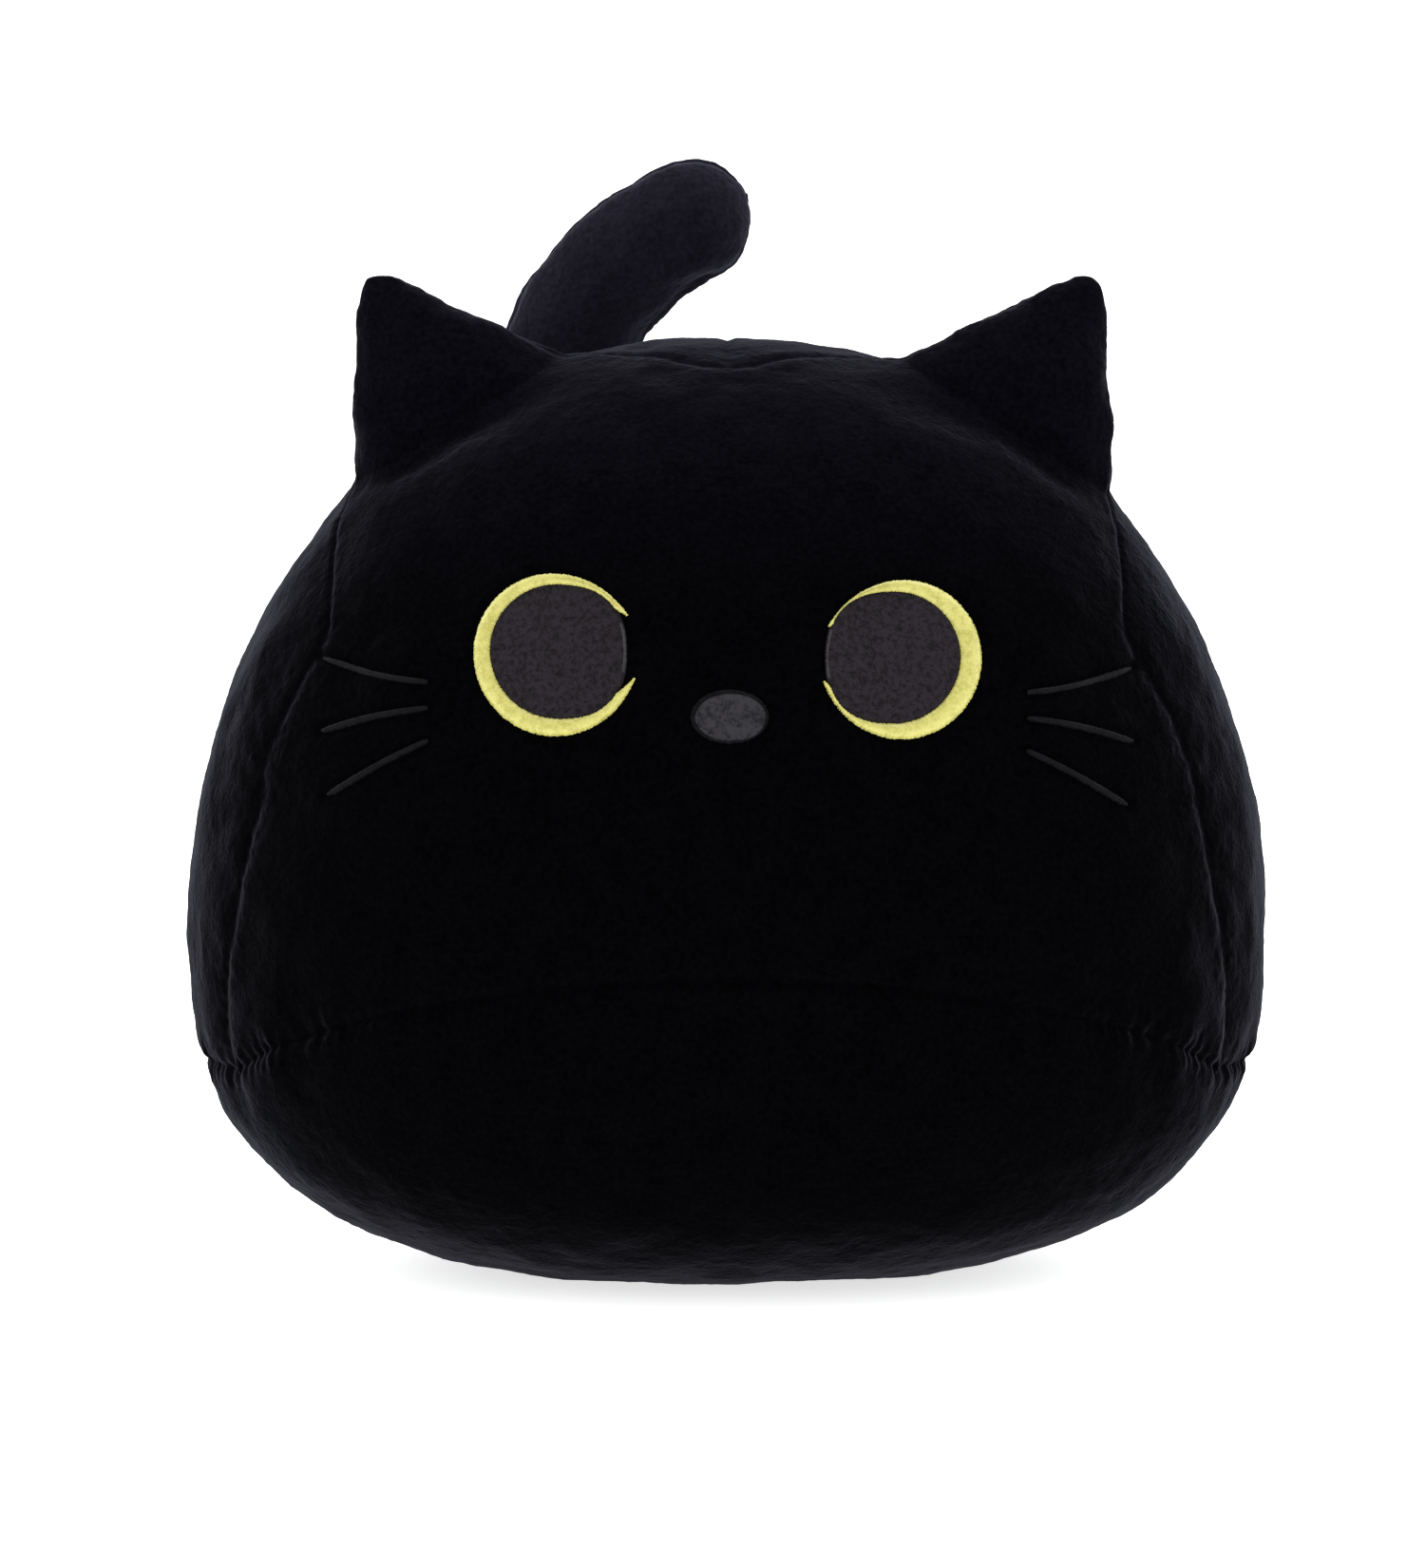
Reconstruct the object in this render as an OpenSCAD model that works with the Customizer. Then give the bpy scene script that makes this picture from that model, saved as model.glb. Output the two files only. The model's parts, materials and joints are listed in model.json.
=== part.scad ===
// Seated plush cat: a stuffed body sewn from four plush panels, two stuffed ears, a curled tail,
// an embroidered face and a sewn-in label. The cat faces -Y, so its own left is +X.
// The origin is the centre of the flat area that it rests on.

/* [Body] */
// Width of the stuffed body at its widest
body_w = 400; // [320:5:480]
// Height of the top of the head
head_h = 348.5; // [280:0.5:420]
// Height at which the body is widest
wide_z = 133; // [105:0.5:160]
// Depth of the body in front of its middle
front_d = 135; // [110:1:165]
// Depth of the body behind its middle
back_d = 150; // [120:1:185]
// How far the stuffed base is pressed flat by the surface it rests on
press_flat = 3; // [1.5:0.5:5]

/* [Fabric and fill] */
// Thickness of the plush, pile included
plush_t = 2; // [1.5:0.1:2.6]
// Gap between two panels along a seam
seam_gap = 0.5; // [0.3:0.1:0.8]
// Gap between the plush of the body and its fibre fill
core_gap = 2.3; // [2:0.1:3]
// Gap between the plush of an ear or the tail and its fibre fill
fill_gap = 1; // [0.85:0.05:1.3]
// Thickness of the non-woven backing behind the embroidery
backing_t = 0.5; // [0.3:0.1:0.8]
// Gap on each side of that backing
backing_gap = 2.2; // [1.8:0.1:2.6]

/* [Seams] */
// How far in front of the middle the side seams start, at the top of the head
seam_top_y = 41; // [34:1:50]
// How far in front of the middle the side seams run at the cheeks
seam_cheek_y = 68; // [52:1:75]
// How far in front of the middle the side seams end, at the belly corners
seam_corner_y = 54; // [40:1:60]
// Where a side seam ends, in degrees round from the top of the head
seam_end_a = 106; // [100:1:111]
// Height of the belly seam at the front
belly_z = 124.5; // [105:0.5:140]
// Height of the bottom seam at the back
back_z = 46; // [38:1:56]

/* [Ears] */
// Where an ear's inner corner is sewn, in degrees round from the top of the head
ear_from_a = 15; // [12:1:18]
// Where an ear's outer corner is sewn, in degrees round from the top of the head
ear_to_a = 42; // [36:1:46]
// How far in front of the middle the ears are sewn
ear_y = 14; // [10:1:18]
// Height of an ear above the line between its corners
ear_h = 65; // [52:1:78]
// Thickness of a stuffed ear
ear_t = 27; // [21:1:33]
// Radius of an ear's tip
ear_tip_r = 6; // [4:0.5:8]
// Gap between the foot of an ear and the head
ear_gap = 0.8; // [0.7:0.05:0.95]

/* [Tail] */
// Diameter of the tail at its root
tail_d = 54; // [44:1:64]
// Diameter of the tail at its tip
tail_tip_d = 43.5; // [36:0.5:52]
// Length of the tail along its middle, between the centres of its round ends
tail_l = 226; // [180:1:270]
// Height of the spot where the tail is sewn on
tail_z = 206; // [190:1:225]
// How far the tail leans to the cat's right where it leaves the root, in degrees
tail_lean_a = 66.5; // [50:0.5:75]
// How far the tail turns back by its tip, in degrees
tail_curl_a = 136; // [110:1:155]
// How far forward the tail's tip leans, from the root
tail_forward = 28; // [16:1:36]
// Gap between the tail's root and the back
tail_gap = 0.5; // [0.4:0.05:0.8]

/* [Face embroidery] */
// Distance of each eye's centre from the middle
eye_x = 62; // [54:0.5:74]
// Height of the eyes' centres
eye_z = 237.5; // [215:0.5:255]
// Outer diameter of the yellow ring
ring_d = 57; // [50:1:70]
// Diameter of the dark eye
eye_d = 48; // [42:1:56]
// How far the dark eye sits towards the nose inside its ring
eye_shift = 2.3; // [1:0.1:3.2]
// Half of the ring's opening towards the nose, in degrees
ring_open_a = 25; // [18:1:32]
// Width of the nose
nose_w = 28; // [24:1:34]
// Height of the nose
nose_h = 19; // [16:0.5:24]
// Height of the nose's centre
nose_z = 217.5; // [200:0.5:230]
// Distance of the whiskers' inner ends from the middle
whisker_in_x = 107; // [100:0.5:112]
// Distance of the whiskers' outer ends from the middle
whisker_out_x = 145.5; // [136:0.5:150]
// Height of the middle whiskers' inner ends
whisker_z = 217; // [205:0.5:230]
// How far the middle whiskers drop towards their outer ends
whisker_drop = 10.5; // [6:0.5:14]
// Spacing of the whiskers at their inner ends
whisker_step_in = 10.5; // [8:0.5:13]
// Spacing of the whiskers at their outer ends
whisker_step_out = 24; // [20:0.5:28]
// Width of a whisker
whisker_w = 2.8; // [2.3:0.1:3.4]
// Thickness of the satin stitching
satin_t = 1.2; // [0.9:0.1:1.5]
// Thickness of the fill stitching
fill_t = 0.9; // [0.7:0.1:1.2]
// Width of a run of outline stitching
outline_w = 1; // [0.8:0.1:1.3]
// Gap between two areas of stitching
stitch_space = 0.4; // [0.3:0.05:0.5]
// Gap between the stitching and the plush
stitch_gap = 0.25; // [0.2:0.05:0.4]

/* [Back] */
// Height of the lowest closing stitch
closing_z = 80; // [70:1:95]
// Number of closing stitches
closing_n = 11; // [7:1:14]
// Distance between closing stitches
closing_pitch = 6; // [5:0.5:7]
// How far a closing stitch reaches on each side of the seam
closing_reach = 2.5; // [2:0.1:3]
// Diameter of the closing thread
thread_d = 0.9; // [0.7:0.1:1.1]
// Width of the sewn-in label
label_w = 20; // [16:1:26]
// Length of the label below the seam
label_l = 30; // [20:1:34]
// Thickness of the folded label
label_t = 0.8; // [0.5:0.1:1]

/* [Hidden] */

plush_colour = [0.03, 0.03, 0.04];
fill_colour = [0.93, 0.93, 0.91];
yellow_colour = [0.87, 0.87, 0.35];
charcoal_colour = [0.18, 0.16, 0.19];
whisker_colour = [0.14, 0.14, 0.15];
label_colour = [0.95, 0.95, 0.95];

half_w = body_w / 2;
crown_h = head_h - wide_z;           // from the widest level up to the top of the head
foot_h = wide_z + press_flat;        // from the widest level down to the unpressed bottom
middle = [0, 0, wide_z];
plan_e = 2.2;                        // exponents: 2 is an ellipse, more is squarer
crown_p = 1.9;
crown_q = 2.3;
foot_e = 2.6;
halvings = 26;                       // steps of each search by halving

// ---------- the stuffed body as a formula ----------

// Share of the full plan size that is left at height z, on a surface inset by i
function level(z, i) = z >= wide_z
    ? pow(max(0, 1 - pow((z - wide_z) / (crown_h - i), crown_p)), 1 / crown_q)
    : pow(max(0, 1 - pow((wide_z - z) / (foot_h - i), foot_e)), 1 / foot_e);

// Share of the full plan size at which a point lies. The front can have an inset of its own
function plan(x, y, i, front_i) =
    pow(pow(abs(x) / (half_w - i), plan_e)
        + pow(abs(y) / (y < 0 ? front_d - front_i : back_d - i), plan_e), 1 / plan_e);

function is_inside(p, i, front_i) = plan(p.x, p.y, i, front_i) < level(p.z, i);

// Distance from point p to the surface along direction d
function reach(p, d, i, front_i, low = 0, high = body_w + head_h, n = halvings) =
    n == 0 ? (low + high) / 2
    : let (mid = (low + high) / 2)
      is_inside(p + mid * d, i, front_i) ? reach(p, d, i, front_i, mid, high, n - 1)
                                         : reach(p, d, i, front_i, low, mid, n - 1);

// Point on the surface in direction d from the middle, stopped at the flat base
function on_body(d, i, front_i) =
    let (r = reach(middle, d, i, front_i))
    middle + d * (d.z < 0 ? min(r, (wide_z - i) / -d.z) : r);

function unit(v) = v / norm(v);
function dir_of(p) = unit(p - middle);

// Point on the surface at compass angle a, measured from the front towards +X, and height z
function at_angle(a, z) =
    let (d = [sin(a), -cos(a), 0]) [0, 0, z] + d * reach([0, 0, z], d, 0, 0);

// Point on the surface at depth y, a degrees round from the top towards +X
function at_round(a, y) =
    let (p = [0, y, wide_z], d = [sin(a), 0, cos(a)]) p + d * reach(p, d, 0, 0);

// Point on the front at x and z, moved out by i along Y
function on_front(x, z, i) =
    let (p = [x, 0, z]) p + [0, -1, 0] * (reach(p, [0, -1, 0], 0, 0) + i);

// ---------- seam lines, as lists of directions shared by the panels they join ----------

side_n = 22;
arch_n = 28;
bottom_n = 16;
centre_n = 26;
blend_a = 4;                         // degrees past an ear where the seam starts to turn
turn_a = 12;                         // degrees past an ear where it reaches the cheek
end_turn_a = 80;                     // degrees round where it turns back to the belly corner
arch_e = 2.4;                        // how flat the top of the belly seam is

function ease(low, high, v) =
    let (t = min(1, max(0, (v - low) / (high - low)))) t * t * (3 - 2 * t);
function side_y(a) = -(seam_top_y
    - (seam_top_y - ear_y) * ease(0, ear_from_a, a)
    + (seam_cheek_y - ear_y) * ease(ear_to_a - blend_a, ear_to_a + turn_a, a)
    - (seam_cheek_y - seam_corner_y) * ease(end_turn_a, seam_end_a, a));

// Side seam on the +X side, from the belly corner up to the top of the head
side_points = [for (k = [0 : side_n])
    let (a = seam_end_a * (1 - k / side_n)) at_round(a, side_y(a))];
side_seam = [for (p = side_points) dir_of(p)];
corner = side_points[0];
corner_a = atan2(corner.x, -corner.y);

// Belly seam from the -X corner across the front to the +X corner
arch_seam = [for (k = [0 : arch_n])
    let (a = corner_a * (2 * k / arch_n - 1),
         z = belly_z - (belly_z - corner.z) * pow(abs(a) / corner_a, arch_e))
    dir_of(at_angle(a, z))];

// Bottom seam from the +X corner round to the middle of the back
bottom_seam = [for (k = [0 : bottom_n])
    let (a = corner_a + (180 - corner_a) * k / bottom_n,
         z = back_z + (corner.z - back_z) * (1 + cos(180 * k / bottom_n)) / 2)
    dir_of(at_angle(a, z))];

// Centre seam from the bottom of the back over the head to the top of the side seams
centre_from = atan2(bottom_seam[bottom_n].z, bottom_seam[bottom_n].y);
centre_to = atan2(side_seam[side_n].z, side_seam[side_n].y);
centre_seam = [for (k = [0 : centre_n])
    let (a = centre_from + (centre_to - centre_from) * k / centre_n) [0, cos(a), sin(a)]];

function other_side(list) = [for (d = list) [-d.x, d.y, d.z]];
function backwards(list) = [for (k = [len(list) - 1 : -1 : 0]) list[k]];
function without_last(list) = [for (k = [0 : len(list) - 2]) list[k]];

// ---------- closed solids from rows of points ----------

function mean(points) =
    [for (c = [0 : 2]) [for (p = points) 1] * [for (p = points) p[c]] / len(points)];

// A slab between two sheets. Each sheet is [[centre], ring, ring, ...], rings running outwards
module slab(top, bottom) {
    rings = len(top) - 1;
    n = len(top[1]);
    count = 1 + rings * n;
    function at(sheet, r, k) = sheet * count + (r == 0 ? 0 : 1 + (r - 1) * n + k % n);
    faces = concat(
        [for (k = [0 : n - 1]) [at(0, 0, 0), at(0, 1, k + 1), at(0, 1, k)]],
        [for (r = [1 : rings - 1]) for (k = [0 : n - 1]) each [
            [at(0, r, k), at(0, r, k + 1), at(0, r + 1, k + 1)],
            [at(0, r, k), at(0, r + 1, k + 1), at(0, r + 1, k)]]],
        [for (k = [0 : n - 1]) [at(1, 0, 0), at(1, 1, k), at(1, 1, k + 1)]],
        [for (r = [1 : rings - 1]) for (k = [0 : n - 1]) each [
            [at(1, r, k), at(1, r + 1, k + 1), at(1, r, k + 1)],
            [at(1, r, k), at(1, r + 1, k), at(1, r + 1, k + 1)]]],
        [for (k = [0 : n - 1]) each [
            [at(0, rings, k), at(0, rings, k + 1), at(1, rings, k + 1)],
            [at(0, rings, k), at(1, rings, k + 1), at(1, rings, k)]]]);
    polyhedron([for (sheet = [top, bottom]) for (ring = sheet) each ring], faces);
}

// A solid lofted through loops of equal length, with a fan at each end or closed into a ring
module loft(loops, ring = false) {
    n = len(loops[0]);
    m = len(loops);
    function at(l, k) = (l % m) * n + k % n;
    sides = [for (l = [0 : m - (ring ? 1 : 2)]) for (k = [0 : n - 1]) each [
        [at(l, k), at(l, k + 1), at(l + 1, k + 1)],
        [at(l, k), at(l + 1, k + 1), at(l + 1, k)]]];
    ends = [for (k = [0 : n - 1]) each [
        [m * n, at(0, k + 1), at(0, k)], [m * n + 1, at(m - 1, k), at(m - 1, k + 1)]]];
    if (ring) polyhedron([for (l = loops) each l], sides);
    else polyhedron([for (l = loops) each l, mean(loops[0]), mean(loops[m - 1])],
        concat(sides, ends));
}

// ---------- body ----------

// A panel of plush: the part of the body's skin inside a closed rim of directions
module panel(centre, rim, rings = 9) {
    c = unit(centre);
    trimmed = [for (d = rim)
        unit(d + unit(c - d * (c * d)) * (seam_gap / 2 / reach(middle, d, 0, 0)))];
    dirs = [for (r = [1 : rings]) [for (d = trimmed) unit(c + (d - c) * r / rings)]];
    function sheet(i) = [[on_body(c, i, i)], for (ring = dirs) [for (d = ring) on_body(d, i, i)]];
    color(plush_colour) slab(sheet(0), sheet(plush_t));
}

module face_panel() {
    panel([0, -1, 0.55],
        concat(without_last(arch_seam), without_last(side_seam),
            without_last(backwards(other_side(side_seam)))));
}
module belly_panel() {
    panel([0, 0, -1],
        backwards(concat(without_last(arch_seam), without_last(bottom_seam),
            without_last(backwards(other_side(bottom_seam))))), 10);
}
module back_panel_left() {
    panel([0.7, 0.6, 0.35],
        concat(without_last(bottom_seam), without_last(centre_seam),
            without_last(backwards(side_seam))));
}
module back_panel_right() mirror([1, 0, 0]) back_panel_left();

module body_stuffing() {
    inset = plush_t + core_gap;
    front_inset = plush_t + 2 * backing_gap + backing_t;
    around = 36;
    bands = 20;
    pole_a = 4;   // degrees between a pole and its nearest loop
    color(fill_colour)
        loft([for (b = [0 : bands])
            let (e = (90 - pole_a) * (2 * b / bands - 1))
            [for (k = [0 : around - 1])
                let (a = 360 * k / around)
                on_body([cos(e) * cos(a), cos(e) * sin(a), sin(e)], inset, front_inset)]]);
}

// Sheets of points on the front, inside an oval centred at x and z
function oval_sheet(x, z, w, h, i, rings, around) =
    [for (r = [0 : rings]) r == 0 ? [on_front(x, z, i)]
        : [for (k = [0 : around - 1])
            let (a = 360 * k / around)
            on_front(x + w / 2 * cos(a) * r / rings, z + h / 2 * sin(a) * r / rings, i)]];

module embroidery_backing() {
    // an oval sheet inside the face, behind all of the embroidery
    w = 2 * (whisker_out_x + 5);
    h = ring_d + 56;
    z = (eye_z + whisker_z - whisker_drop - whisker_step_out) / 2;
    front = plush_t + backing_gap;
    color(fill_colour)
        slab(oval_sheet(0, z, w, h, -front, 8, 48),
            oval_sheet(0, z, w, h, -front - backing_t, 8, 48));
}

// ---------- face embroidery, drawn on the +X side ----------

// A patch of fill stitching
module fill_patch(x, z, w, h, rings = 4, around = 32)
    slab(oval_sheet(x, z, w, h, stitch_gap + fill_t, rings, around),
        oval_sheet(x, z, w, h, stitch_gap, rings, around));

// A band of stitching through pairs of edge points, each an [x, z]
module band(pairs, t, ring = false)
    loft([for (p = pairs) [
        on_front(p[0].x, p[0].y, stitch_gap), on_front(p[0].x, p[0].y, stitch_gap + t),
        on_front(p[1].x, p[1].y, stitch_gap + t), on_front(p[1].x, p[1].y, stitch_gap)]], ring);

ring_in_r = eye_d / 2 + stitch_space;
function around_eye(a, r) = [eye_x + r * cos(a), eye_z + r * sin(a)];
// Distance from the ring's centre to its inner edge. Angle 0 points away from the nose
function ring_in(a) =
    -eye_shift * cos(a) + sqrt(pow(ring_in_r, 2) - pow(eye_shift * sin(a), 2));

module left_eye_ring() {
    steps = 40;
    end_a = 180 - ring_open_a;
    color(yellow_colour)
        band([for (k = [0 : steps])
            let (a = end_a * (1 - 2 * k / steps))
            [around_eye(a, ring_d / 2), around_eye(a, ring_in(a))]], satin_t);
}
module left_eye_fill()
    color(charcoal_colour) fill_patch(eye_x - eye_shift, eye_z, eye_d, eye_d);
module left_eye_outline() {
    // a run of stitching that closes the ring's opening towards the nose
    steps = 10;
    half_a = ring_open_a - 3;
    color(whisker_colour)
        band([for (k = [0 : steps])
            let (a = 180 + half_a * (1 - 2 * k / steps))
            [around_eye(a, ring_in(a) + outline_w), around_eye(a, ring_in(a))]], fill_t);
}
module right_eye_ring() mirror([1, 0, 0]) left_eye_ring();
module right_eye_fill() mirror([1, 0, 0]) left_eye_fill();
module right_eye_outline() mirror([1, 0, 0]) left_eye_outline();

module nose_fill()
    color(charcoal_colour)
        fill_patch(0, nose_z, nose_w - 2 * (outline_w + stitch_space),
            nose_h - 2 * (outline_w + stitch_space), 3, 28);
module nose_outline() {
    steps = 36;
    color(whisker_colour)
        band([for (k = [0 : steps - 1])
            let (a = -360 * k / steps)
            [[nose_w / 2 * cos(a), nose_z + nose_h / 2 * sin(a)],
             [(nose_w / 2 - outline_w) * cos(a), nose_z + (nose_h / 2 - outline_w) * sin(a)]]],
            fill_t, true);
}

// Whisker number n: 1 is the upper, 0 the middle, -1 the lower
module whisker(n) {
    steps = 12;
    sag = 1.5;
    end_share = 0.97;                // the ends stay a little wider than nothing
    end_e = 8;                       // more makes the ends blunter
    inner = [whisker_in_x, whisker_z + n * whisker_step_in];
    outer = [whisker_out_x, whisker_z - whisker_drop + n * whisker_step_out];
    across = unit([inner.y - outer.y, outer.x - inner.x]);
    color(whisker_colour)
        band([for (k = [0 : steps])
            let (t = k / steps,
                 p = inner + (outer - inner) * t + across * sag * (n == 1 ? -1 : 1) * sin(180 * t),
                 w = whisker_w / 2 * sqrt(1 - pow(abs(2 * t - 1) * end_share, end_e)))
            [p + across * w, p - across * w]], satin_t);
}
module left_whisker_upper() whisker(1);
module left_whisker_middle() whisker(0);
module left_whisker_lower() whisker(-1);
module right_whisker_upper() mirror([1, 0, 0]) whisker(1);
module right_whisker_middle() mirror([1, 0, 0]) whisker(0);
module right_whisker_lower() mirror([1, 0, 0]) whisker(-1);

// ---------- back ----------

function back_y(x, z) = reach([x, 0, z], [0, 1, 0], 0, 0);

module closing_thread() {
    // ladder stitches: one thread that crosses the centre seam again and again
    color(plush_colour)
        loft([for (k = [0 : 2 * closing_n])
            let (x = closing_reach * (k % 2 == 0 ? -1 : 1),
                 z = closing_z + closing_pitch * k / 2,
                 out = back_y(x, z) + stitch_gap)
            [for (c = [[-1, 0], [-1, 1], [1, 1], [1, 0]])
                [x + thread_d * c.x, out + thread_d * c.y, z]]]);
}

// ---------- ears, drawn in their own frame: s along the foot, v up to the tip ----------

ear_inner = at_round(ear_from_a, -ear_y);
ear_outer = at_round(ear_to_a, -ear_y);
ear_mid = (ear_inner + ear_outer) / 2;
ear_along = unit(ear_outer - ear_inner);
ear_up = [-ear_along.z, 0, ear_along.x];
ear_foot = norm(ear_outer - ear_inner) / 2;
function in_ear(p) = [(p - ear_mid) * ear_along, (p - ear_mid) * ear_up];
function ear_point(q, depth) = ear_mid + q.x * ear_along + q.y * ear_up + [0, depth, 0];

foot_n = 12;
edge_n = 5;
tip_n = 4;
tip_a = 37;                          // degrees above the foot line where the tip's arc starts
edge_bow = 2;                        // how far an ear's edges bow outwards
ear_middle_share = 0.42;             // height of the thickest spot, as a share of the ear's height
ear_crown_e = 2.2;                   // more makes an ear flatter in the middle
foot_line = [for (k = [0 : foot_n])
    let (p = at_round(ear_from_a + (ear_to_a - ear_from_a) * k / foot_n, -ear_y))
    in_ear(p) + [0, ear_gap]];
tip_centre = [0, ear_h - ear_tip_r];
tip_line = [for (k = [0 : tip_n])
    let (a = tip_a + (180 - 2 * tip_a) * k / tip_n) tip_centre + ear_tip_r * [cos(a), sin(a)]];
function edge(from, to) = [for (k = [1 : edge_n - 1])
    let (t = k / edge_n, d = unit(to - from))
    from + (to - from) * t + [d.y, -d.x] * edge_bow * sin(180 * t)];
ear_line = concat(foot_line, edge(foot_line[foot_n], tip_line[0]), tip_line,
    edge(tip_line[tip_n], foot_line[0]));
ear_middle = [0, ear_middle_share * ear_h];
ear_shares = [0, 0.4, 0.65, 0.84, 0.95, 1];   // where the rings lie, from the middle to the rim
thin_tip = 0.4;                               // share of its thickness lost by an ear's tip

// How far the front or back of an ear stands out of its middle plane, less an inset
function ear_bulge(share, q, i) =
    (ear_t / 2 - seam_gap / 2 - plush_t) * sqrt(max(0, 1 - pow(share, ear_crown_e)))
        * (1 - thin_tip * q.y / ear_h) + plush_t - i;

function ear_sheet(side, i, shrink = 0) = [for (share = ear_shares)
    share == 0 ? [ear_point(ear_middle, side * (seam_gap / 2 + ear_bulge(0, ear_middle, i)))]
        : [for (p = ear_line)
            let (part = share * (1 - shrink), q = ear_middle + (p - ear_middle) * part)
            ear_point(q, side * (seam_gap / 2 + ear_bulge(part, q, i)))]];

module left_ear_front() color(plush_colour) slab(ear_sheet(-1, 0), ear_sheet(-1, plush_t));
module left_ear_back() color(plush_colour) slab(ear_sheet(1, plush_t), ear_sheet(1, 0));
module left_ear_stuffing() {
    shrink = 0.06;
    color(fill_colour)
        slab(ear_sheet(-1, plush_t + fill_gap, shrink), ear_sheet(1, plush_t + fill_gap, shrink));
}
module right_ear_front() mirror([1, 0, 0]) left_ear_front();
module right_ear_back() mirror([1, 0, 0]) left_ear_back();
module right_ear_stuffing() mirror([1, 0, 0]) left_ear_stuffing();

// ---------- tail ----------

tail_r = tail_d / 2;
tail_tip_r = tail_tip_d / 2;
tail_seat = [0, back_y(0, tail_z), tail_z];
tail_out = let (step = 1, d = [0, back_y(0, tail_z - step) - back_y(0, tail_z + step), 2 * step])
    unit([0, d.z, d.y]);
tail_pivot = tail_seat + tail_out * (tail_r + tail_gap);
tail_n = 18;
cap_n = 5;
curl_e = 1.17;                       // more keeps the tail straighter near its root
fill_from = ceil(tail_r / (tail_l / tail_n));   // the first place clear of the fill in the root

// Heading of the tail at share t of its length, in degrees from straight up towards +X
function tail_heading(t) = -tail_lean_a + tail_curl_a * pow(t, curl_e);
tail_steps = [for (k = [0 : tail_n - 1])
    let (a = tail_heading((k + 0.5) / tail_n)) tail_l / tail_n * [sin(a), 0, cos(a)]];
tail_line = [for (k = 0, p = [0, 0, 0]; k <= tail_n;
        p = k < tail_n ? p + tail_steps[k] : p, k = k + 1)
    tail_pivot + p - [0, tail_forward * ease(0, 1, k / tail_n), 0]];

// Places along the tail: [centre, direction, radius], with round ends
pole_a = 87;
function tail_places(i, from) = let (
    start = unit(tail_line[1] - tail_line[0]),
    end = unit(tail_line[tail_n] - tail_line[tail_n - 1]))
    [for (k = [0 : cap_n - 1]) if (from == 0)
        let (a = pole_a * (1 - k / cap_n))
        [tail_pivot - start * (tail_r - i) * sin(a), start, (tail_r - i) * cos(a)],
     for (k = [from : tail_n])
        [tail_line[k],
         k == 0 ? start : k == tail_n ? end : unit(tail_line[k + 1] - tail_line[k - 1]),
         tail_r + (tail_tip_r - tail_r) * k / tail_n - i],
     for (k = [1 : cap_n])
        let (a = pole_a * k / cap_n)
        [tail_line[tail_n] + end * (tail_tip_r - i) * sin(a), end, (tail_tip_r - i) * cos(a)]];

// Point round a place: angle 0 towards +X, 90 towards the front
function round_place(place, a) =
    let (right = unit(cross([0, 1, 0], place[1])), front = cross(place[1], right))
    place[0] + place[2] * (right * cos(a) - front * sin(a) * sign(front.y));

// Half of the tail's skin. Side 1 is the front half, -1 the back half
module tail_half(side) {
    half_n = 10;
    outer = tail_places(0, 0);
    inner = tail_places(plush_t, 0);
    color(plush_colour)
        loft([for (k = [0 : len(outer) - 1])
            concat(
                [for (j = [0 : half_n]) half_point(outer[k], side, j / half_n)],
                [for (j = [half_n : -1 : 0]) half_point(inner[k], side, j / half_n)])]);
}
function half_point(place, side, t) =
    let (trim = min(40, asin(min(1, seam_gap / 2 / place[2]))), a = trim + (180 - 2 * trim) * t)
    round_place(place, side * a);
module tail_front_panel() tail_half(1);
module tail_back_panel() tail_half(-1);

module tail_stuffing() {
    around = 20;
    color(fill_colour)
        loft([for (place = tail_places(plush_t + fill_gap, fill_from))
            [for (k = [0 : around - 1]) round_place(place, 360 * k / around)]]);
}
module tail_root_stuffing() {
    r = tail_r - plush_t - fill_gap;
    color(fill_colour) translate(tail_pivot) sphere(r = r);
}

// ---------- label ----------

label_pivot = [0, back_y(0, back_z) + label_t, back_z - label_t];
module care_label() {
    // hangs straight down from the bottom seam, folded over a rounded top edge
    color(label_colour) translate(label_pivot) {
        translate([-label_w / 2, 0, 0]) rotate([0, 90, 0])
            cylinder(h = label_w, r = label_t / 2, $fn = 24);
        translate([-label_w / 2, -label_t / 2, -label_l]) cube([label_w, label_t, label_l]);
    }
}

body_stuffing();
face_panel();
belly_panel();
back_panel_left();
back_panel_right();
embroidery_backing();
left_eye_ring();
left_eye_fill();
left_eye_outline();
right_eye_ring();
right_eye_fill();
right_eye_outline();
nose_fill();
nose_outline();
left_whisker_upper();
left_whisker_middle();
left_whisker_lower();
right_whisker_upper();
right_whisker_middle();
right_whisker_lower();
closing_thread();
left_ear_front();
left_ear_back();
left_ear_stuffing();
right_ear_front();
right_ear_back();
right_ear_stuffing();
tail_root_stuffing();
tail_stuffing();
tail_front_panel();
tail_back_panel();
care_label();
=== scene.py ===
# Round black plush cat: a stuffed body of four panels, two ears, a curled tail and an embroidered face.
import json
import math

import bmesh
import bpy
import numpy as np
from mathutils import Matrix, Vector, noise
from mathutils.bvhtree import BVHTree


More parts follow.
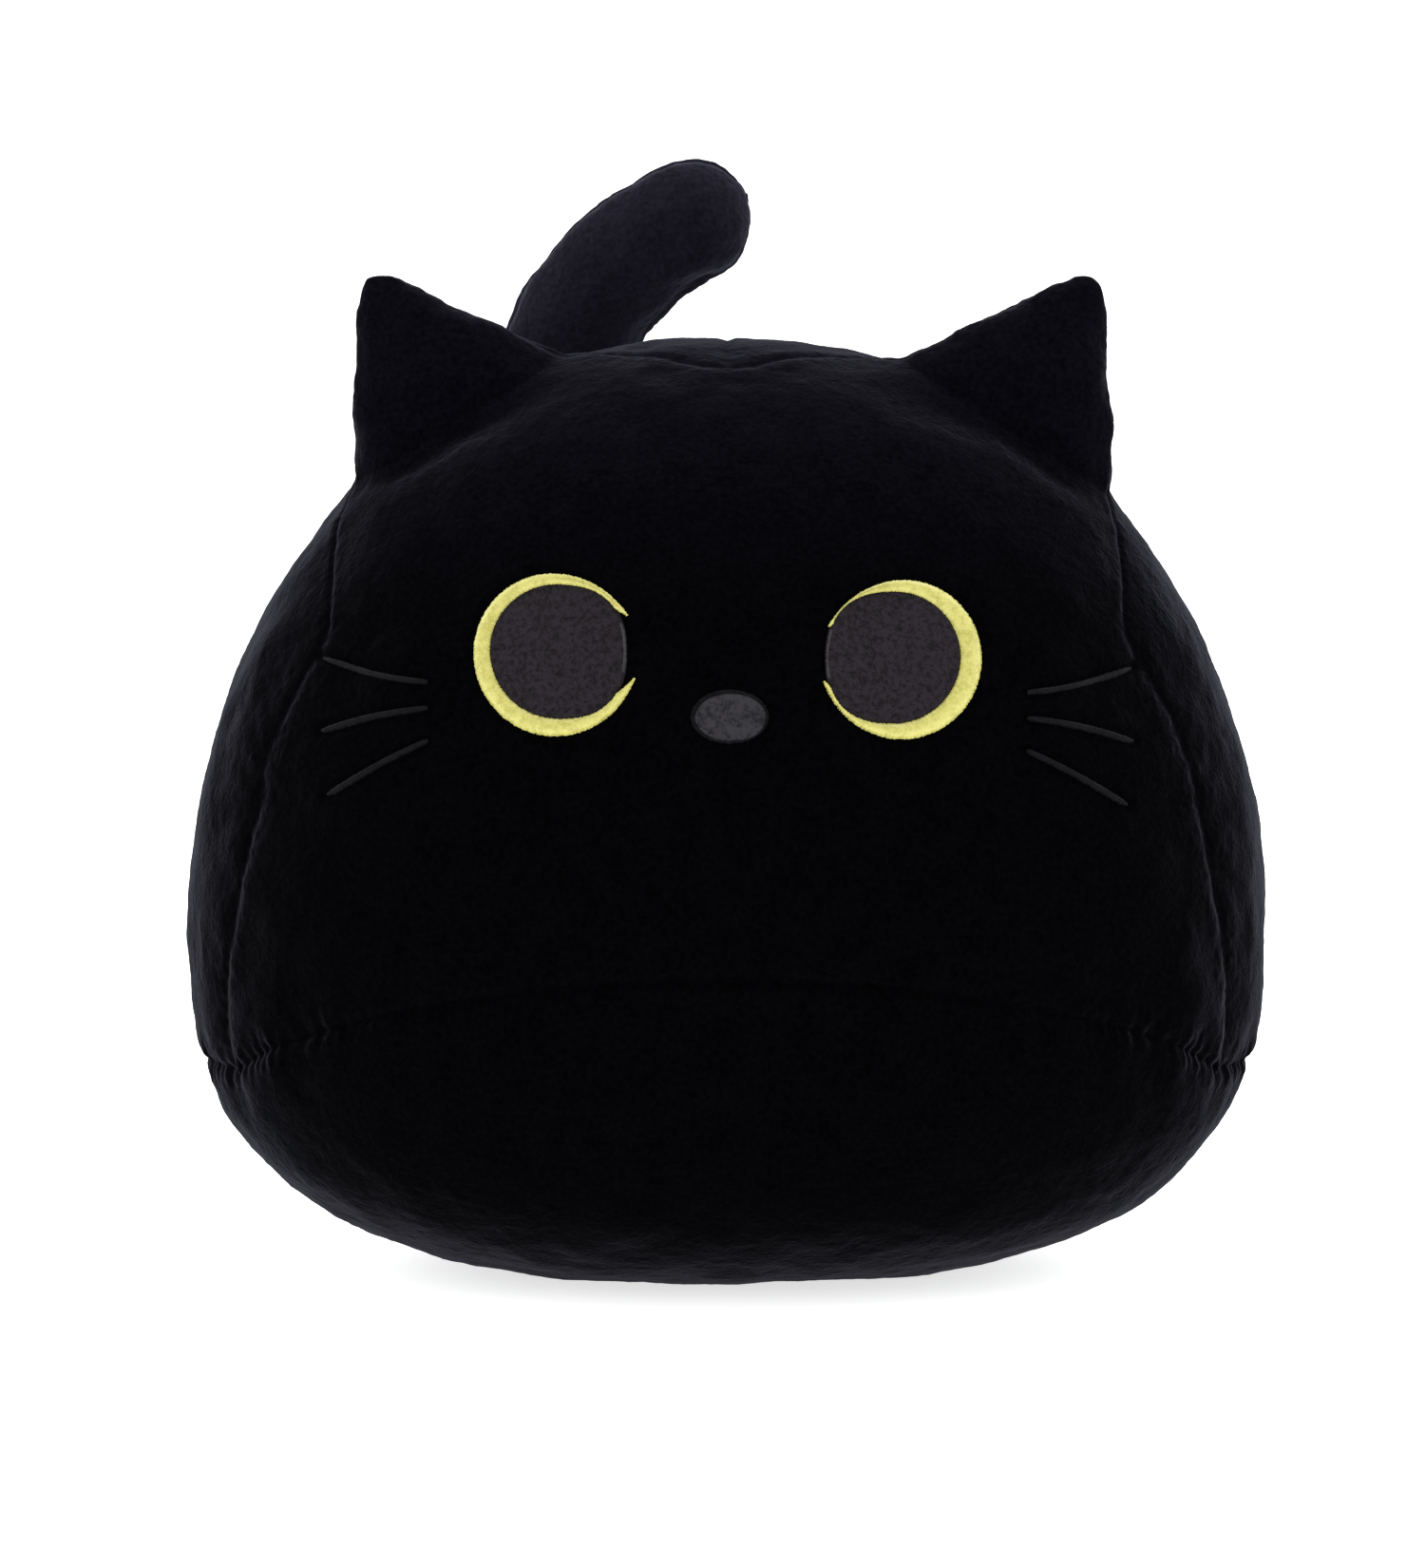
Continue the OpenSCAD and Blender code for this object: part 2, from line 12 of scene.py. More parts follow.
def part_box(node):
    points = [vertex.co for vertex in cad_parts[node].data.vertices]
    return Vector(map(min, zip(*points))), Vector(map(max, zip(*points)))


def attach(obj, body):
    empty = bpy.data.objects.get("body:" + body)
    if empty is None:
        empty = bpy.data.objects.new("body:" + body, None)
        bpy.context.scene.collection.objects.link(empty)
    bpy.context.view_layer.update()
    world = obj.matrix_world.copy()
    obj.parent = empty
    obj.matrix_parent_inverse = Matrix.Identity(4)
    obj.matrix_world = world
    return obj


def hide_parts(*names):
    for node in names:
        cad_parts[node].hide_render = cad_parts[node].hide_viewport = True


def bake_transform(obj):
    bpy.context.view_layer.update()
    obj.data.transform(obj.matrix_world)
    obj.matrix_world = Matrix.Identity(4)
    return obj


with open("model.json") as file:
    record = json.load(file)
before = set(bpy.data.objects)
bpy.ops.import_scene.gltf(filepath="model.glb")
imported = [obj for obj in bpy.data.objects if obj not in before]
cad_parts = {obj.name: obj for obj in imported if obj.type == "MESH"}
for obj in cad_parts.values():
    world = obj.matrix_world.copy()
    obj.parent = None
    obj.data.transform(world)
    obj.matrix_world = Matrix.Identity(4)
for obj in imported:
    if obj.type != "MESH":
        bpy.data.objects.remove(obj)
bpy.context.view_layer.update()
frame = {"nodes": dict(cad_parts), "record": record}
print("frame loaded:", len(frame["nodes"]), "nodes")

# camera, floor and light

cameraSet = {
    "elevation": 6.0,        # degrees above level
    "distance": 3.0,         # metres from the middle of the cat's base
    "aimAcross": -0.0053,
    "aimUp": 0.1794,
    "frameWidth": 0.530,     # what the frame spans at the cat
}
lightSet = {
    "floorColor": (0.97, 0.97, 0.97), "floorReach": 80.0, "floorGlow": 0.7,
    "world": 1.03,
    "leftPower": 12.0, "rightPower": 10.5, "topPower": 24.0, "frontPower": 3.5,
}

tilt = math.radians(cameraSet["elevation"])
viewAxis = Vector((0, math.cos(tilt), -math.sin(tilt)))
viewUp = Vector((0, math.sin(tilt), math.cos(tilt)))
viewRight = Vector((1, 0, 0))
eyePoint = (viewRight * cameraSet["aimAcross"] + viewUp * cameraSet["aimUp"]
            - viewAxis * cameraSet["distance"])


def addCamera():
    lens = bpy.data.cameras.new("camera")
    lens.sensor_fit = "HORIZONTAL"
    lens.sensor_width = 36
    lens.lens = 36 * cameraSet["distance"] / cameraSet["frameWidth"]
    lens.clip_end = 200
    camera = bpy.data.objects.new("camera", lens)
    camera.location = eyePoint
    camera.rotation_euler = (math.radians(90) - tilt, 0, 0)
    bpy.context.scene.collection.objects.link(camera)
    bpy.context.scene.camera = camera


def addArea(name, place, aim, size, power, color=(1, 1, 1)):
    lamp = bpy.data.lights.new(name, "AREA")
    lamp.shape = "RECTANGLE"
    lamp.size, lamp.size_y = size
    lamp.energy = power
    lamp.color = color
    lampObject = bpy.data.objects.new(name, lamp)
    lampObject.location = place
    lampObject.rotation_euler = (Vector(aim) - Vector(place)).to_track_quat("-Z", "Y").to_euler()
    bpy.context.scene.collection.objects.link(lampObject)


def addStudio():
    bm = bmesh.new()
    bmesh.ops.create_grid(bm, x_segments=1, y_segments=1, size=lightSet["floorReach"])
    floorMesh = bpy.data.meshes.new("floor")
    bm.to_mesh(floorMesh)
    bm.free()
    floor = bpy.data.objects.new("floor", floorMesh)
    bpy.context.scene.collection.objects.link(floor)
    paper = bpy.data.materials.new("paperFloor")
    paper.use_nodes = True
    shader = paper.node_tree.nodes["Principled BSDF"]
    shader.inputs["Base Color"].default_value = (*lightSet["floorColor"], 1)
    shader.inputs["Roughness"].default_value = 0.9
    shader.inputs["Specular IOR Level"].default_value = 0.1
    # a light table: the floor glows a little, so the contact shadow stays faint
    shader.inputs["Emission Color"].default_value = (1, 1, 1, 1)
    shader.inputs["Emission Strength"].default_value = lightSet["floorGlow"]
    floorMesh.materials.append(paper)
    world = bpy.data.worlds.new("softStudio")
    bpy.context.scene.world = world
    world.use_nodes = True
    sky = world.node_tree.nodes["Background"]
    sky.inputs["Color"].default_value = (1, 1, 1, 1)
    sky.inputs["Strength"].default_value = lightSet["world"]
    addArea("leftLight", (-1.5, 0.5, 0.9), (0, 0, 0.18), (0.9, 1.4), lightSet["leftPower"], (0.92, 0.95, 1))
    addArea("rightLight", (1.5, 0.5, 0.9), (0, 0, 0.18), (0.9, 1.4), lightSet["rightPower"], (0.92, 0.95, 1))
    addArea("topLight", (0.1, 0.5, 1.7), (0, 0, 0.2), (1.4, 0.9), lightSet["topPower"], (0.94, 0.96, 1))
    addArea("leftFront", (-1.8, -1.1, 0.7), (0, 0, 0.2), (1.0, 1.0), lightSet["frontPower"])
    addArea("rightFront", (1.8, -1.1, 0.7), (0, 0, 0.2), (1.0, 1.0), lightSet["frontPower"])


addCamera()
addStudio()
bpy.context.scene.view_settings.view_transform = "Standard"

# helpers


def addPiece(bm, name, body, material, replaces=()):
    # a sewn edge is sharp, so that the wall's rim doesn't bend the light on the outside
    rims = [e.is_boundary for e in bm.edges]
    mesh = bpy.data.meshes.new(name)
    bm.to_mesh(mesh)
    bm.free()
    mesh.shade_smooth()
    mesh.attributes.new("sharp_edge", "BOOLEAN", "EDGE").data.foreach_set("value", rims)
    piece = bpy.data.objects.new(name, mesh)
    bpy.context.scene.collection.objects.link(piece)
    mesh.materials.append(material)
    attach(piece, body)
    if replaces:
        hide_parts(*replaces)
    return piece


def giveWall(piece, thickness):
    # the outside stays where it is and the wall grows inwards
    wall = piece.modifiers.new("Solidify", "SOLIDIFY")
    wall.thickness = thickness
    wall.offset = -1


def cubeBall(cuts):
    # a ball of quads with the same spacing all round
    bm = bmesh.new()
    bmesh.ops.create_cube(bm, size=2)
    bmesh.ops.subdivide_edges(bm, edges=bm.edges[:], cuts=cuts, use_grid_fill=True)
    points = readPoints(bm)
    return bm, points / np.linalg.norm(points, axis=1)[:, None]


def discGrid(across, up):
    # a grid squeezed into a disc of radius 1
    bm = bmesh.new()
    bmesh.ops.create_grid(bm, x_segments=across, y_segments=up, size=1)
    square = readPoints(bm)[:, :2]
    return bm, square * np.sqrt(1 - square[:, ::-1] ** 2 / 2)


def readPoints(bm):
    return np.array([v.co[:] for v in bm.verts], float).reshape(-1, 3)


def writePoints(bm, points):
    for v, p in zip(bm.verts, points.tolist()):
        v.co = p


def easeStep(low, high, value):
    t = np.clip((value - low) / (high - low), 0, 1)
    return t * t * (3 - 2 * t)


def noiseField(points, scale, seed, octaves=2):
    out = np.empty(len(points))
    shift = Vector((seed * 3.7, seed * 1.3, seed * 7.1))
    for i, p in enumerate(points.tolist()):
        out[i] = noise.fractal(Vector(p) / scale + shift, 0.6, 2.1, octaves)
    return out


def spreadOver(values, edges, count, rounds):
    # evens out a value over neighbouring vertices
    degree = np.bincount(edges.ravel(), minlength=count).astype(float)
    degree[degree == 0] = 1
    for _ in range(rounds):
        out = np.empty_like(values)
        for c in range(values.shape[1]):
            column = values[:, c]
            total = (np.bincount(edges[:, 0], column[edges[:, 1]], minlength=count)
                     + np.bincount(edges[:, 1], column[edges[:, 0]], minlength=count))
            out[:, c] = 0.5 * column + 0.5 * total / degree
        values = out
    return values


def meshArrays(mesh):
    points = np.empty(len(mesh.vertices) * 3)
    mesh.vertices.foreach_get("co", points)
    edges = np.empty(len(mesh.edges) * 2, dtype=np.int64)
    mesh.edges.foreach_get("vertices", edges)
    return points.reshape(-1, 3), edges.reshape(-1, 2)


def remeshed(bm, voxel):
    # one closed skin around everything in bm
    mesh = bpy.data.meshes.new("remeshing")
    bm.to_mesh(mesh)
    bm.free()
    helper = bpy.data.objects.new("remeshing", mesh)
    bpy.context.scene.collection.objects.link(helper)
    modifier = helper.modifiers.new("Remesh", "REMESH")
    modifier.mode = "VOXEL"
    modifier.voxel_size = voxel
    out = bmesh.new()
    out.from_object(helper, bpy.context.evaluated_depsgraph_get())
    bpy.data.objects.remove(helper)
    bpy.data.meshes.remove(mesh)
    return out


def stuffed(bm, weights, sim):
    # fills a sewn skin: pressure from inside and seams that draw in; the local dents and folds
    # are kept and the broad swelling is left out, so the sewn outline stays
    mesh = bpy.data.meshes.new("stuffing")
    bm.to_mesh(mesh)
    bm.free()
    helper = bpy.data.objects.new("stuffing", mesh)
    bpy.context.scene.collection.objects.link(helper)
    before, edges = meshArrays(mesh)
    group = helper.vertex_groups.new(name="seams")
    for i in np.flatnonzero(weights > 0.02).tolist():
        group.add([i], float(weights[i]), "REPLACE")
    cloth = helper.modifiers.new("Cloth", "CLOTH")
    cloth.settings.use_pressure = True
    cloth.settings.uniform_pressure_force = sim["pressure"]
    cloth.settings.effector_weights.gravity = 0
    cloth.settings.quality = sim["quality"]
    cloth.settings.mass = 0.3
    cloth.settings.tension_stiffness = sim["stiffness"]
    cloth.settings.compression_stiffness = sim["stiffness"]
    cloth.settings.bending_stiffness = sim["bending"]
    cloth.settings.vertex_group_shrink = "seams"
    cloth.settings.shrink_min = sim["ease"]
    cloth.settings.shrink_max = sim["gather"]
    cloth.collision_settings.use_collision = False
    cloth.collision_settings.use_self_collision = False
    cloth.point_cache.frame_start = 1
    cloth.point_cache.frame_end = sim["frames"]
    for step in range(1, sim["frames"] + 1):
        bpy.context.scene.frame_set(step)
    shaped = helper.evaluated_get(bpy.context.evaluated_depsgraph_get())
    after, _ = meshArrays(shaped.data)
    moved = after - before
    broad = spreadOver(moved, edges, len(before), 60)
    moved = (moved - broad) * sim["keep"]
    length = np.linalg.norm(moved, axis=1)
    print("  moved up to %.1f mm" % (length.max() * 1000))
    moved *= np.minimum(1, sim["cap"] / np.maximum(length, 1e-9))[:, None]
    out = bmesh.new()
    out.from_mesh(mesh)
    writePoints(out, before + moved)
    bpy.data.objects.remove(helper)
    bpy.data.meshes.remove(mesh)
    bpy.context.scene.frame_set(1)
    return out


def finer(bm):
    # one round of subdivision
    mesh = bpy.data.meshes.new("finer")
    bm.to_mesh(mesh)
    bm.free()
    helper = bpy.data.objects.new("finer", mesh)
    bpy.context.scene.collection.objects.link(helper)
    modifier = helper.modifiers.new("Subdivision", "SUBSURF")
    modifier.levels = modifier.render_levels = 1
    out = bmesh.new()
    out.from_object(helper, bpy.context.evaluated_depsgraph_get())
    bpy.data.objects.remove(helper)
    bpy.data.meshes.remove(mesh)
    return out


def cutAlong(bm, field, only):
    # cuts the mesh where field(points) crosses zero: the field becomes X for one flat cut
    home = bm.verts.layers.float_vector.get("home") or bm.verts.layers.float_vector.new("home")
    points = readPoints(bm)
    for v, p, f in zip(bm.verts, points.tolist(), field(points).tolist()):
        v[home] = p
        v.co = (f, p[1], p[2])
    crossed = [f for f in bm.faces if min(v.co.x for v in f.verts) < 0 < max(v.co.x for v in f.verts)]
    middles = np.array([np.mean([v[home] for v in f.verts], axis=0) for f in crossed]).reshape(-1, 3)
    geometry = set()
    for f, wanted in zip(crossed, only(middles)):
        if wanted:
            geometry.update([f], f.edges, f.verts)
    bmesh.ops.bisect_plane(bm, geom=list(geometry), dist=0.0004, plane_co=(0, 0, 0), plane_no=(1, 0, 0))
    for v in bm.verts:
        v.co = v[home]
    bm.normal_update()


def faceMiddles(bm):
    return np.array([f.calc_center_median()[:] for f in bm.faces]).reshape(-1, 3)


def pointNormals(bm):
    bm.normal_update()
    return np.array([v.normal[:] for v in bm.verts], float).reshape(-1, 3)


def partOf(bm, keep):
    # a copy of bm with only the faces where keep is true
    out = bm.copy()
    out.faces.ensure_lookup_table()
    bmesh.ops.delete(out, geom=[f for f, k in zip(out.faces, keep) if not k], context="FACES")
    return out


def ripple(along, pitch, seed):
    # a hand-sewn rhythm along a seam, from -1 to 1, never quite even
    turn = 2 * math.pi * along / pitch + seed
    return 0.6 * np.sin(turn + 2.2 * np.sin(turn * 0.137 + seed)) + 0.4 * np.sin(turn * 0.61 + 1.7 * seed)


# shape of the body

bodyShape = {
    "halfWidth": 0.199, "front": 0.135, "back": 0.150,
    "wideHeight": 0.133, "headHeight": 0.3447, "pressed": 0.003,
    "planPower": 2.2, "crownPowers": (1.9, 2.25), "footPower": 2.75,
    "tuck": 0.010,      # how far the base draws back in front
    "cells": 63, "voxel": 0.004,
}
bodySim = {
    "pressure": 4.0, "quality": 4, "stiffness": 15, "bending": 0.4,
    "ease": 0.0, "gather": 0.03, "frames": 14, "keep": 0.5, "cap": 0.003,
}
seamSet = {
    "topDepth": 0.041, "earDepth": 0.014, "cheekDepth": 0.068, "cornerDepth": 0.054,
    "earAngle": 15.0, "cheekAngles": (38.0, 54.0), "cornerAngles": (80.0, 106.0),
    "frontHeight": 0.1245, "backHeight": 0.046, "archPower": 2.4,
    "groove": 0.0018, "grooveWidth": 0.0020, "shoulder": 0.0005, "shoulderAt": 0.0056,
    "pucker": 0.0005, "puckerPitch": 0.0056, "wave": 0.0005, "wavePitch": 0.024,
    "corner": 0.9,      # how much more the belly seam puckers towards the side seams
    "calm": 0.12,       # how little the other seams pucker
}
plushSet = {
    "wall": 0.002,
    "lump": 0.0011, "lumpScale": 0.034,      # soft unevenness of the fill
    "nap": 0.00028, "napScale": 0.0042,      # tufts of pile
    "pressed": 0.0013,                       # how far stitches pull the face in
    "fineReach": 0.0075,                     # the mesh is finer this close to a seam
}
crown = bodyShape["headHeight"] - bodyShape["wideHeight"]
foot = bodyShape["wideHeight"] + bodyShape["pressed"]
middle = np.array((0, 0, bodyShape["wideHeight"]))


def levelShare(z):
    up = np.clip((z - middle[2]) / crown, 0, 1)
    down = np.clip((middle[2] - z) / foot, 0, 1)
    p, q = bodyShape["crownPowers"]
    e = bodyShape["footPower"]
    return np.where(z >= middle[2], (1 - up ** p) ** (1 / q), (1 - down ** e) ** (1 / e))


def planShare(x, y):
    e = bodyShape["planPower"]
    deep = np.where(y < 0, bodyShape["front"], bodyShape["back"])
    return ((np.abs(x) / bodyShape["halfWidth"]) ** e + (np.abs(y) / deep) ** e) ** (1 / e)


def bodyReach(ways, origin=middle):
    # how far the surface lies from origin along each way, found by halving
    near = np.zeros(len(ways))
    far = np.full(len(ways), 0.6)
    for _ in range(30):
        mid = (near + far) / 2
        p = origin + ways * mid[:, None]
        low = np.clip((middle[2] - p[:, 2]) / foot, 0, 1) ** 8
        tuck = bodyShape["tuck"] * low * np.clip(-p[:, 1] / 0.02, 0, 1)
        inside = planShare(p[:, 0], p[:, 1] - tuck) < levelShare(p[:, 2])
        inside &= (p[:, 2] > 0) & (p[:, 2] < bodyShape["headHeight"])
        near = np.where(inside, mid, near)
        far = np.where(inside, far, mid)
    return near


def overBody(points):
    # how far a point lies outside the plain body, along its line from the middle
    d = points - middle
    r = np.linalg.norm(d, axis=1)
    return r - bodyReach(d / np.maximum(r, 1e-9)[:, None])


def roundAngle(points):
    return np.degrees(np.arctan2(np.abs(points[:, 0]), points[:, 2] - middle[2]))


def compassAngle(points):
    return np.degrees(np.arctan2(np.abs(points[:, 0]), -points[:, 1]))


cornerTurn = math.radians(seamSet["cornerAngles"][1])
cornerWay = np.array([[math.sin(cornerTurn), 0, math.cos(cornerTurn)]])
cornerOrigin = middle - np.array((0, seamSet["cornerDepth"], 0))
corner = cornerOrigin + cornerWay * bodyReach(cornerWay, cornerOrigin)[:, None]
cornerCompass = float(compassAngle(corner)[0])
cornerHeight = float(corner[0, 2])


def sideSeam(points):
    # negative in front of the side seams, positive behind them
    a = roundAngle(points)
    s = seamSet
    depth = (s["topDepth"] - (s["topDepth"] - s["earDepth"]) * easeStep(0, s["earAngle"], a)
             + (s["cheekDepth"] - s["earDepth"]) * easeStep(*s["cheekAngles"], a)
             - (s["cheekDepth"] - s["cornerDepth"]) * easeStep(*s["cornerAngles"], a))
    return points[:, 1] + depth


def bellySeam(points):
    # negative below the belly and bottom seams, positive above them
    c = compassAngle(points)
    s = seamSet
    t = np.clip(c / cornerCompass, 0, 1)
    front = s["frontHeight"] - (s["frontHeight"] - cornerHeight) * t ** s["archPower"]
    u = np.clip((c - cornerCompass) / (180 - cornerCompass), 0, 1)
    back = s["backHeight"] + (cornerHeight - s["backHeight"]) * (1 + np.cos(math.pi * u)) / 2
    return points[:, 2] - np.where(c < cornerCompass, front, back)


def centreSeam(points):
    return points[:, 0]


def seamTrace(points):
    # distance to the nearest seam, place along it and how strongly it pulls
    side, belly = sideSeam(points), bellySeam(points)
    onEar = easeStep(0.002, 0.010, overBody(points))
    far = 1.0
    distance = np.stack((
        np.abs(belly),
        np.where(belly > -0.002, np.abs(side), far),
        np.where((belly > -0.002) & (side > -0.002), np.abs(points[:, 0]), far)))
    along = np.stack((
        np.radians(compassAngle(points)) * 0.17,
        np.where(onEar > 0.5, np.abs(points[:, 0]) + points[:, 2], np.radians(roundAngle(points)) * 0.19),
        points[:, 2] + 0.6 * points[:, 1]))
    pull = np.stack((np.full(len(points), 0.85), 0.36 - 0.05 * onEar, np.full(len(points), 0.4)))
    corner = 0.18 + seamSet["corner"] * easeStep(28, 70, compassAngle(points))
    calm = np.full(len(points), seamSet["calm"])
    crinkle = np.stack((corner, calm * (1 - 0.5 * onEar), calm))
    nearest = distance.argmin(axis=0)[None]
    return [np.take_along_axis(values, nearest, axis=0)[0] for values in (distance, along, pull, crinkle)]


def seamRelief(distance, along, pull, crinkle, s):
    groove = -s["groove"] * np.exp(-(distance / s["grooveWidth"]) ** 2)
    shoulder = s["shoulder"] * np.exp(-((distance - s["shoulderAt"]) / (0.7 * s["shoulderAt"])) ** 2)
    pucker = s["pucker"] * ripple(along, s["puckerPitch"], 1.0) * np.exp(-(distance / 0.0062) ** 2)
    wave = s["wave"] * ripple(along, s["wavePitch"], 4.0) * np.exp(-(distance / 0.016) ** 2)
    return pull * (groove + shoulder) + crinkle * (pucker + wave)


# ears

earShape = {
    "outerLow": (0.1420, 0.285), "outerHigh": (0.1380, 0.3776),   # x and z of the outer edge
    "innerLow": (0.0830, 0.3505), "innerHigh": (0.1380, 0.3777),  # and of the inner edge
    "footIn": (0.0559, 0.3416), "footOut": (0.1410, 0.2896),
    "rise": 0.018, "sunk": 0.042, "thickness": 0.044, "tipShare": 0.42, "cornerPower": 4.4,
    "leftStretch": 1.012, "rightStretch": 0.984, "leftDrop": 0.0012,   # not sewn on quite alike
    "cells": 31, "split": 0.004,                                  # height of the ear's cut above the head
    "bendFrom": 0.013, "bendTo": 0.042,
    "creaseTop": 0.019, "creaseFade": (0.018, 0.048), "creaseRounds": 30,   # the valley at the ear's foot
    "footPress": 0.0013, "footPressWidth": 0.0019,
}
footIn, footOut = np.array(earShape["footIn"]), np.array(earShape["footOut"])
earAlong = (footOut - footIn) / np.linalg.norm(footOut - footIn)
earUp = np.array((-earAlong[1], earAlong[0]))
earMiddle = (footIn + footOut) / 2


def earSolid(side, size=1.0):
    centre = earMiddle + earUp * earShape["rise"]
    limits = []
    for low, high in (("outerLow", "outerHigh"), ("innerLow", "innerHigh")):
        p, q = np.array(earShape[low]), np.array(earShape[high])
        n = np.array((q[1] - p[1], p[0] - q[0])) / np.linalg.norm(q - p)
        n *= np.sign((p - centre) @ n)
        limits.append((n, (p - centre) @ n))
    limits.append((-earUp, earShape["rise"] + earShape["sunk"]))
    bm, points = cubeBall(earShape["cells"])
    flat = points[:, [0, 2]]
    share = np.linalg.norm(flat, axis=1)
    way = flat / np.maximum(share, 1e-9)[:, None]
    power = earShape["cornerPower"]
    near = sum(np.maximum(way @ n, 0) ** power / h ** power for n, h in limits)
    reach = np.maximum(near, 1e-9) ** (-1 / power)
    place = centre + way * (share * reach * size)[:, None]
    tipHigh = (np.array(earShape["outerHigh"]) - centre) @ earUp
    thin = 1 - (1 - earShape["tipShare"]) * easeStep(-0.01, tipHigh, (place - centre) @ earUp)
    deep = points[:, 1] * earShape["thickness"] / 2 * thin * size
    across = side * earShape["leftStretch" if side > 0 else "rightStretch"]
    up = place[:, 1] - (earShape["leftDrop"] if side > 0 else 0)
    writePoints(bm, np.column_stack((across * place[:, 0], deep - seamSet["earDepth"], up)))
    bmesh.ops.recalc_face_normals(bm, faces=bm.faces[:])
    return bm


def joinInto(target, source):
    mesh = bpy.data.meshes.new("joining")
    source.to_mesh(mesh)
    source.free()
    target.from_mesh(mesh)
    bpy.data.meshes.remove(mesh)


def earField(points):
    return overBody(points) - earShape["split"]


def nearEar(points):
    a = roundAngle(points)
    return (a > 8) & (a < 50) & (np.abs(points[:, 1] + seamSet["earDepth"]) < 0.05)


def smoothed(bm, verts, rounds):
    for _ in range(rounds):
        bmesh.ops.smooth_vert(bm, verts=verts, factor=0.5, use_axis_x=True, use_axis_y=True, use_axis_z=True)


def buildBody():
    bm, ways = cubeBall(bodyShape["cells"])
    writePoints(bm, middle + ways * bodyReach(ways)[:, None])
    for side in (-1, 1):
        joinInto(bm, earSolid(side))
    bm = remeshed(bm, bodyShape["voxel"])
    points = readPoints(bm)
    bm.verts.ensure_lookup_table()
    inCrease = np.flatnonzero(nearEar(points) & (overBody(points) < earShape["creaseTop"]))
    smoothed(bm, [bm.verts[i] for i in inCrease], earShape["creaseRounds"])
    # the smoothing fades out away from the ears' feet
    fade = 1 - easeStep(*earShape["creaseFade"], np.abs(points[:, 1] + seamSet["earDepth"]))
    writePoints(bm, points + (readPoints(bm) - points) * fade[:, None])
    smoothed(bm, bm.verts[:], 1)
    return bm


def everywhere(points):
    return np.ones(len(points), bool)


print("shaping the body")
skin = buildBody()
seamPull = np.exp(-(seamTrace(readPoints(skin))[0] / 0.004) ** 2)
skin = finer(stuffed(skin, seamPull, bodySim))
lumps = noiseField(readPoints(skin), plushSet["lumpScale"], 3) * plushSet["lump"]
writePoints(skin, readPoints(skin) + pointNormals(skin) * lumps[:, None])
faceTree = BVHTree.FromBMesh(skin)
print("  body skin:", len(skin.verts), "points")

# where the face embroidery goes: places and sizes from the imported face, with the small
# differences that hand-guided sewing leaves between the two sides


def boxOf(node):
    low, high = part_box(node)
    return np.array(low), np.array(high)


def eyePlan(side, node):
    low, high = boxOf(node + "_eye_ring")
    discLow, discHigh = boxOf(node + "_eye_fill")
    radius = (high[2] - low[2]) / 2
    outer = max(abs(low[0]), abs(high[0]))
    return {
        "side": side, "node": node, "radius": radius,
        "ring": np.array((side * (outer - radius), (low[2] + high[2]) / 2)),
        "disc": np.array(((discLow[0] + discHigh[0]) / 2, (discLow[2] + discHigh[2]) / 2)),
        "discSize": np.array((discHigh[0] - discLow[0], discHigh[2] - discLow[2])) / 2,
        "ringSize": np.array((radius, radius)),
    }


eyePlans = [eyePlan(1, "left"), eyePlan(-1, "right")]
eyePlans[0]["ring"] += (0.0004, -0.0008)
eyePlans[0]["disc"] += (-0.0006, -0.0001)
eyePlans[0]["ringSize"] *= (1.000, 0.970)
eyePlans[0]["discSize"] *= (0.975, 0.930)
eyePlans[0]["tips"] = (154.5, -162.5)        # degrees round from the outer side, upper and lower end
eyePlans[1]["ring"] += (0.0004, 0.0009)
eyePlans[1]["disc"] += (-0.0007, 0.0020)
eyePlans[1]["ringSize"] *= (1.024, 0.991)
eyePlans[1]["discSize"] *= (0.988, 0.945)
eyePlans[1]["tips"] = (152.8, -162.0)
noseLow, noseHigh = boxOf("nose_outline")
nosePlan = {
    "middle": np.array(((noseLow[0] + noseHigh[0]) / 2 + 0.0008, (noseLow[2] + noseHigh[2]) / 2)),
    "size": np.array((noseHigh[0] - noseLow[0], noseHigh[2] - noseLow[2])) / 2,
}
# each whisker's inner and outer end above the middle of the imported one, its bow, and how much
# shorter it is; the right side sits a little higher than the left
whiskerRows = {
    "upper": (-0.0025, 0.0034, -0.0012, 0.0),
    "middle": (0.0053, -0.0050, 0.0014, 0.0),
    "lower": (0.0113, -0.0098, 0.0010, 0.0026),
}
whiskerShift = {"left": -0.0018, "right": 0.0018}


def whiskerLine(side, node, row):
    low, high = boxOf("%s_whisker_%s" % (node, row))
    innerRise, outerRise, bow, shorter = whiskerRows[row]
    inner, outer = sorted((low[0], high[0]), key=abs)
    outer -= side * shorter
    level = (low[2] + high[2]) / 2 + whiskerShift[node]
    t = np.linspace(0, 1, 25)
    z = level + innerRise + (outerRise - innerRise) * t + bow * np.sin(math.pi * t)
    return np.column_stack((inner + (outer - inner) * t, z))


whiskerLines = {(plan["node"], row): whiskerLine(plan["side"], plan["node"], row)
                for plan in eyePlans for row in whiskerRows}


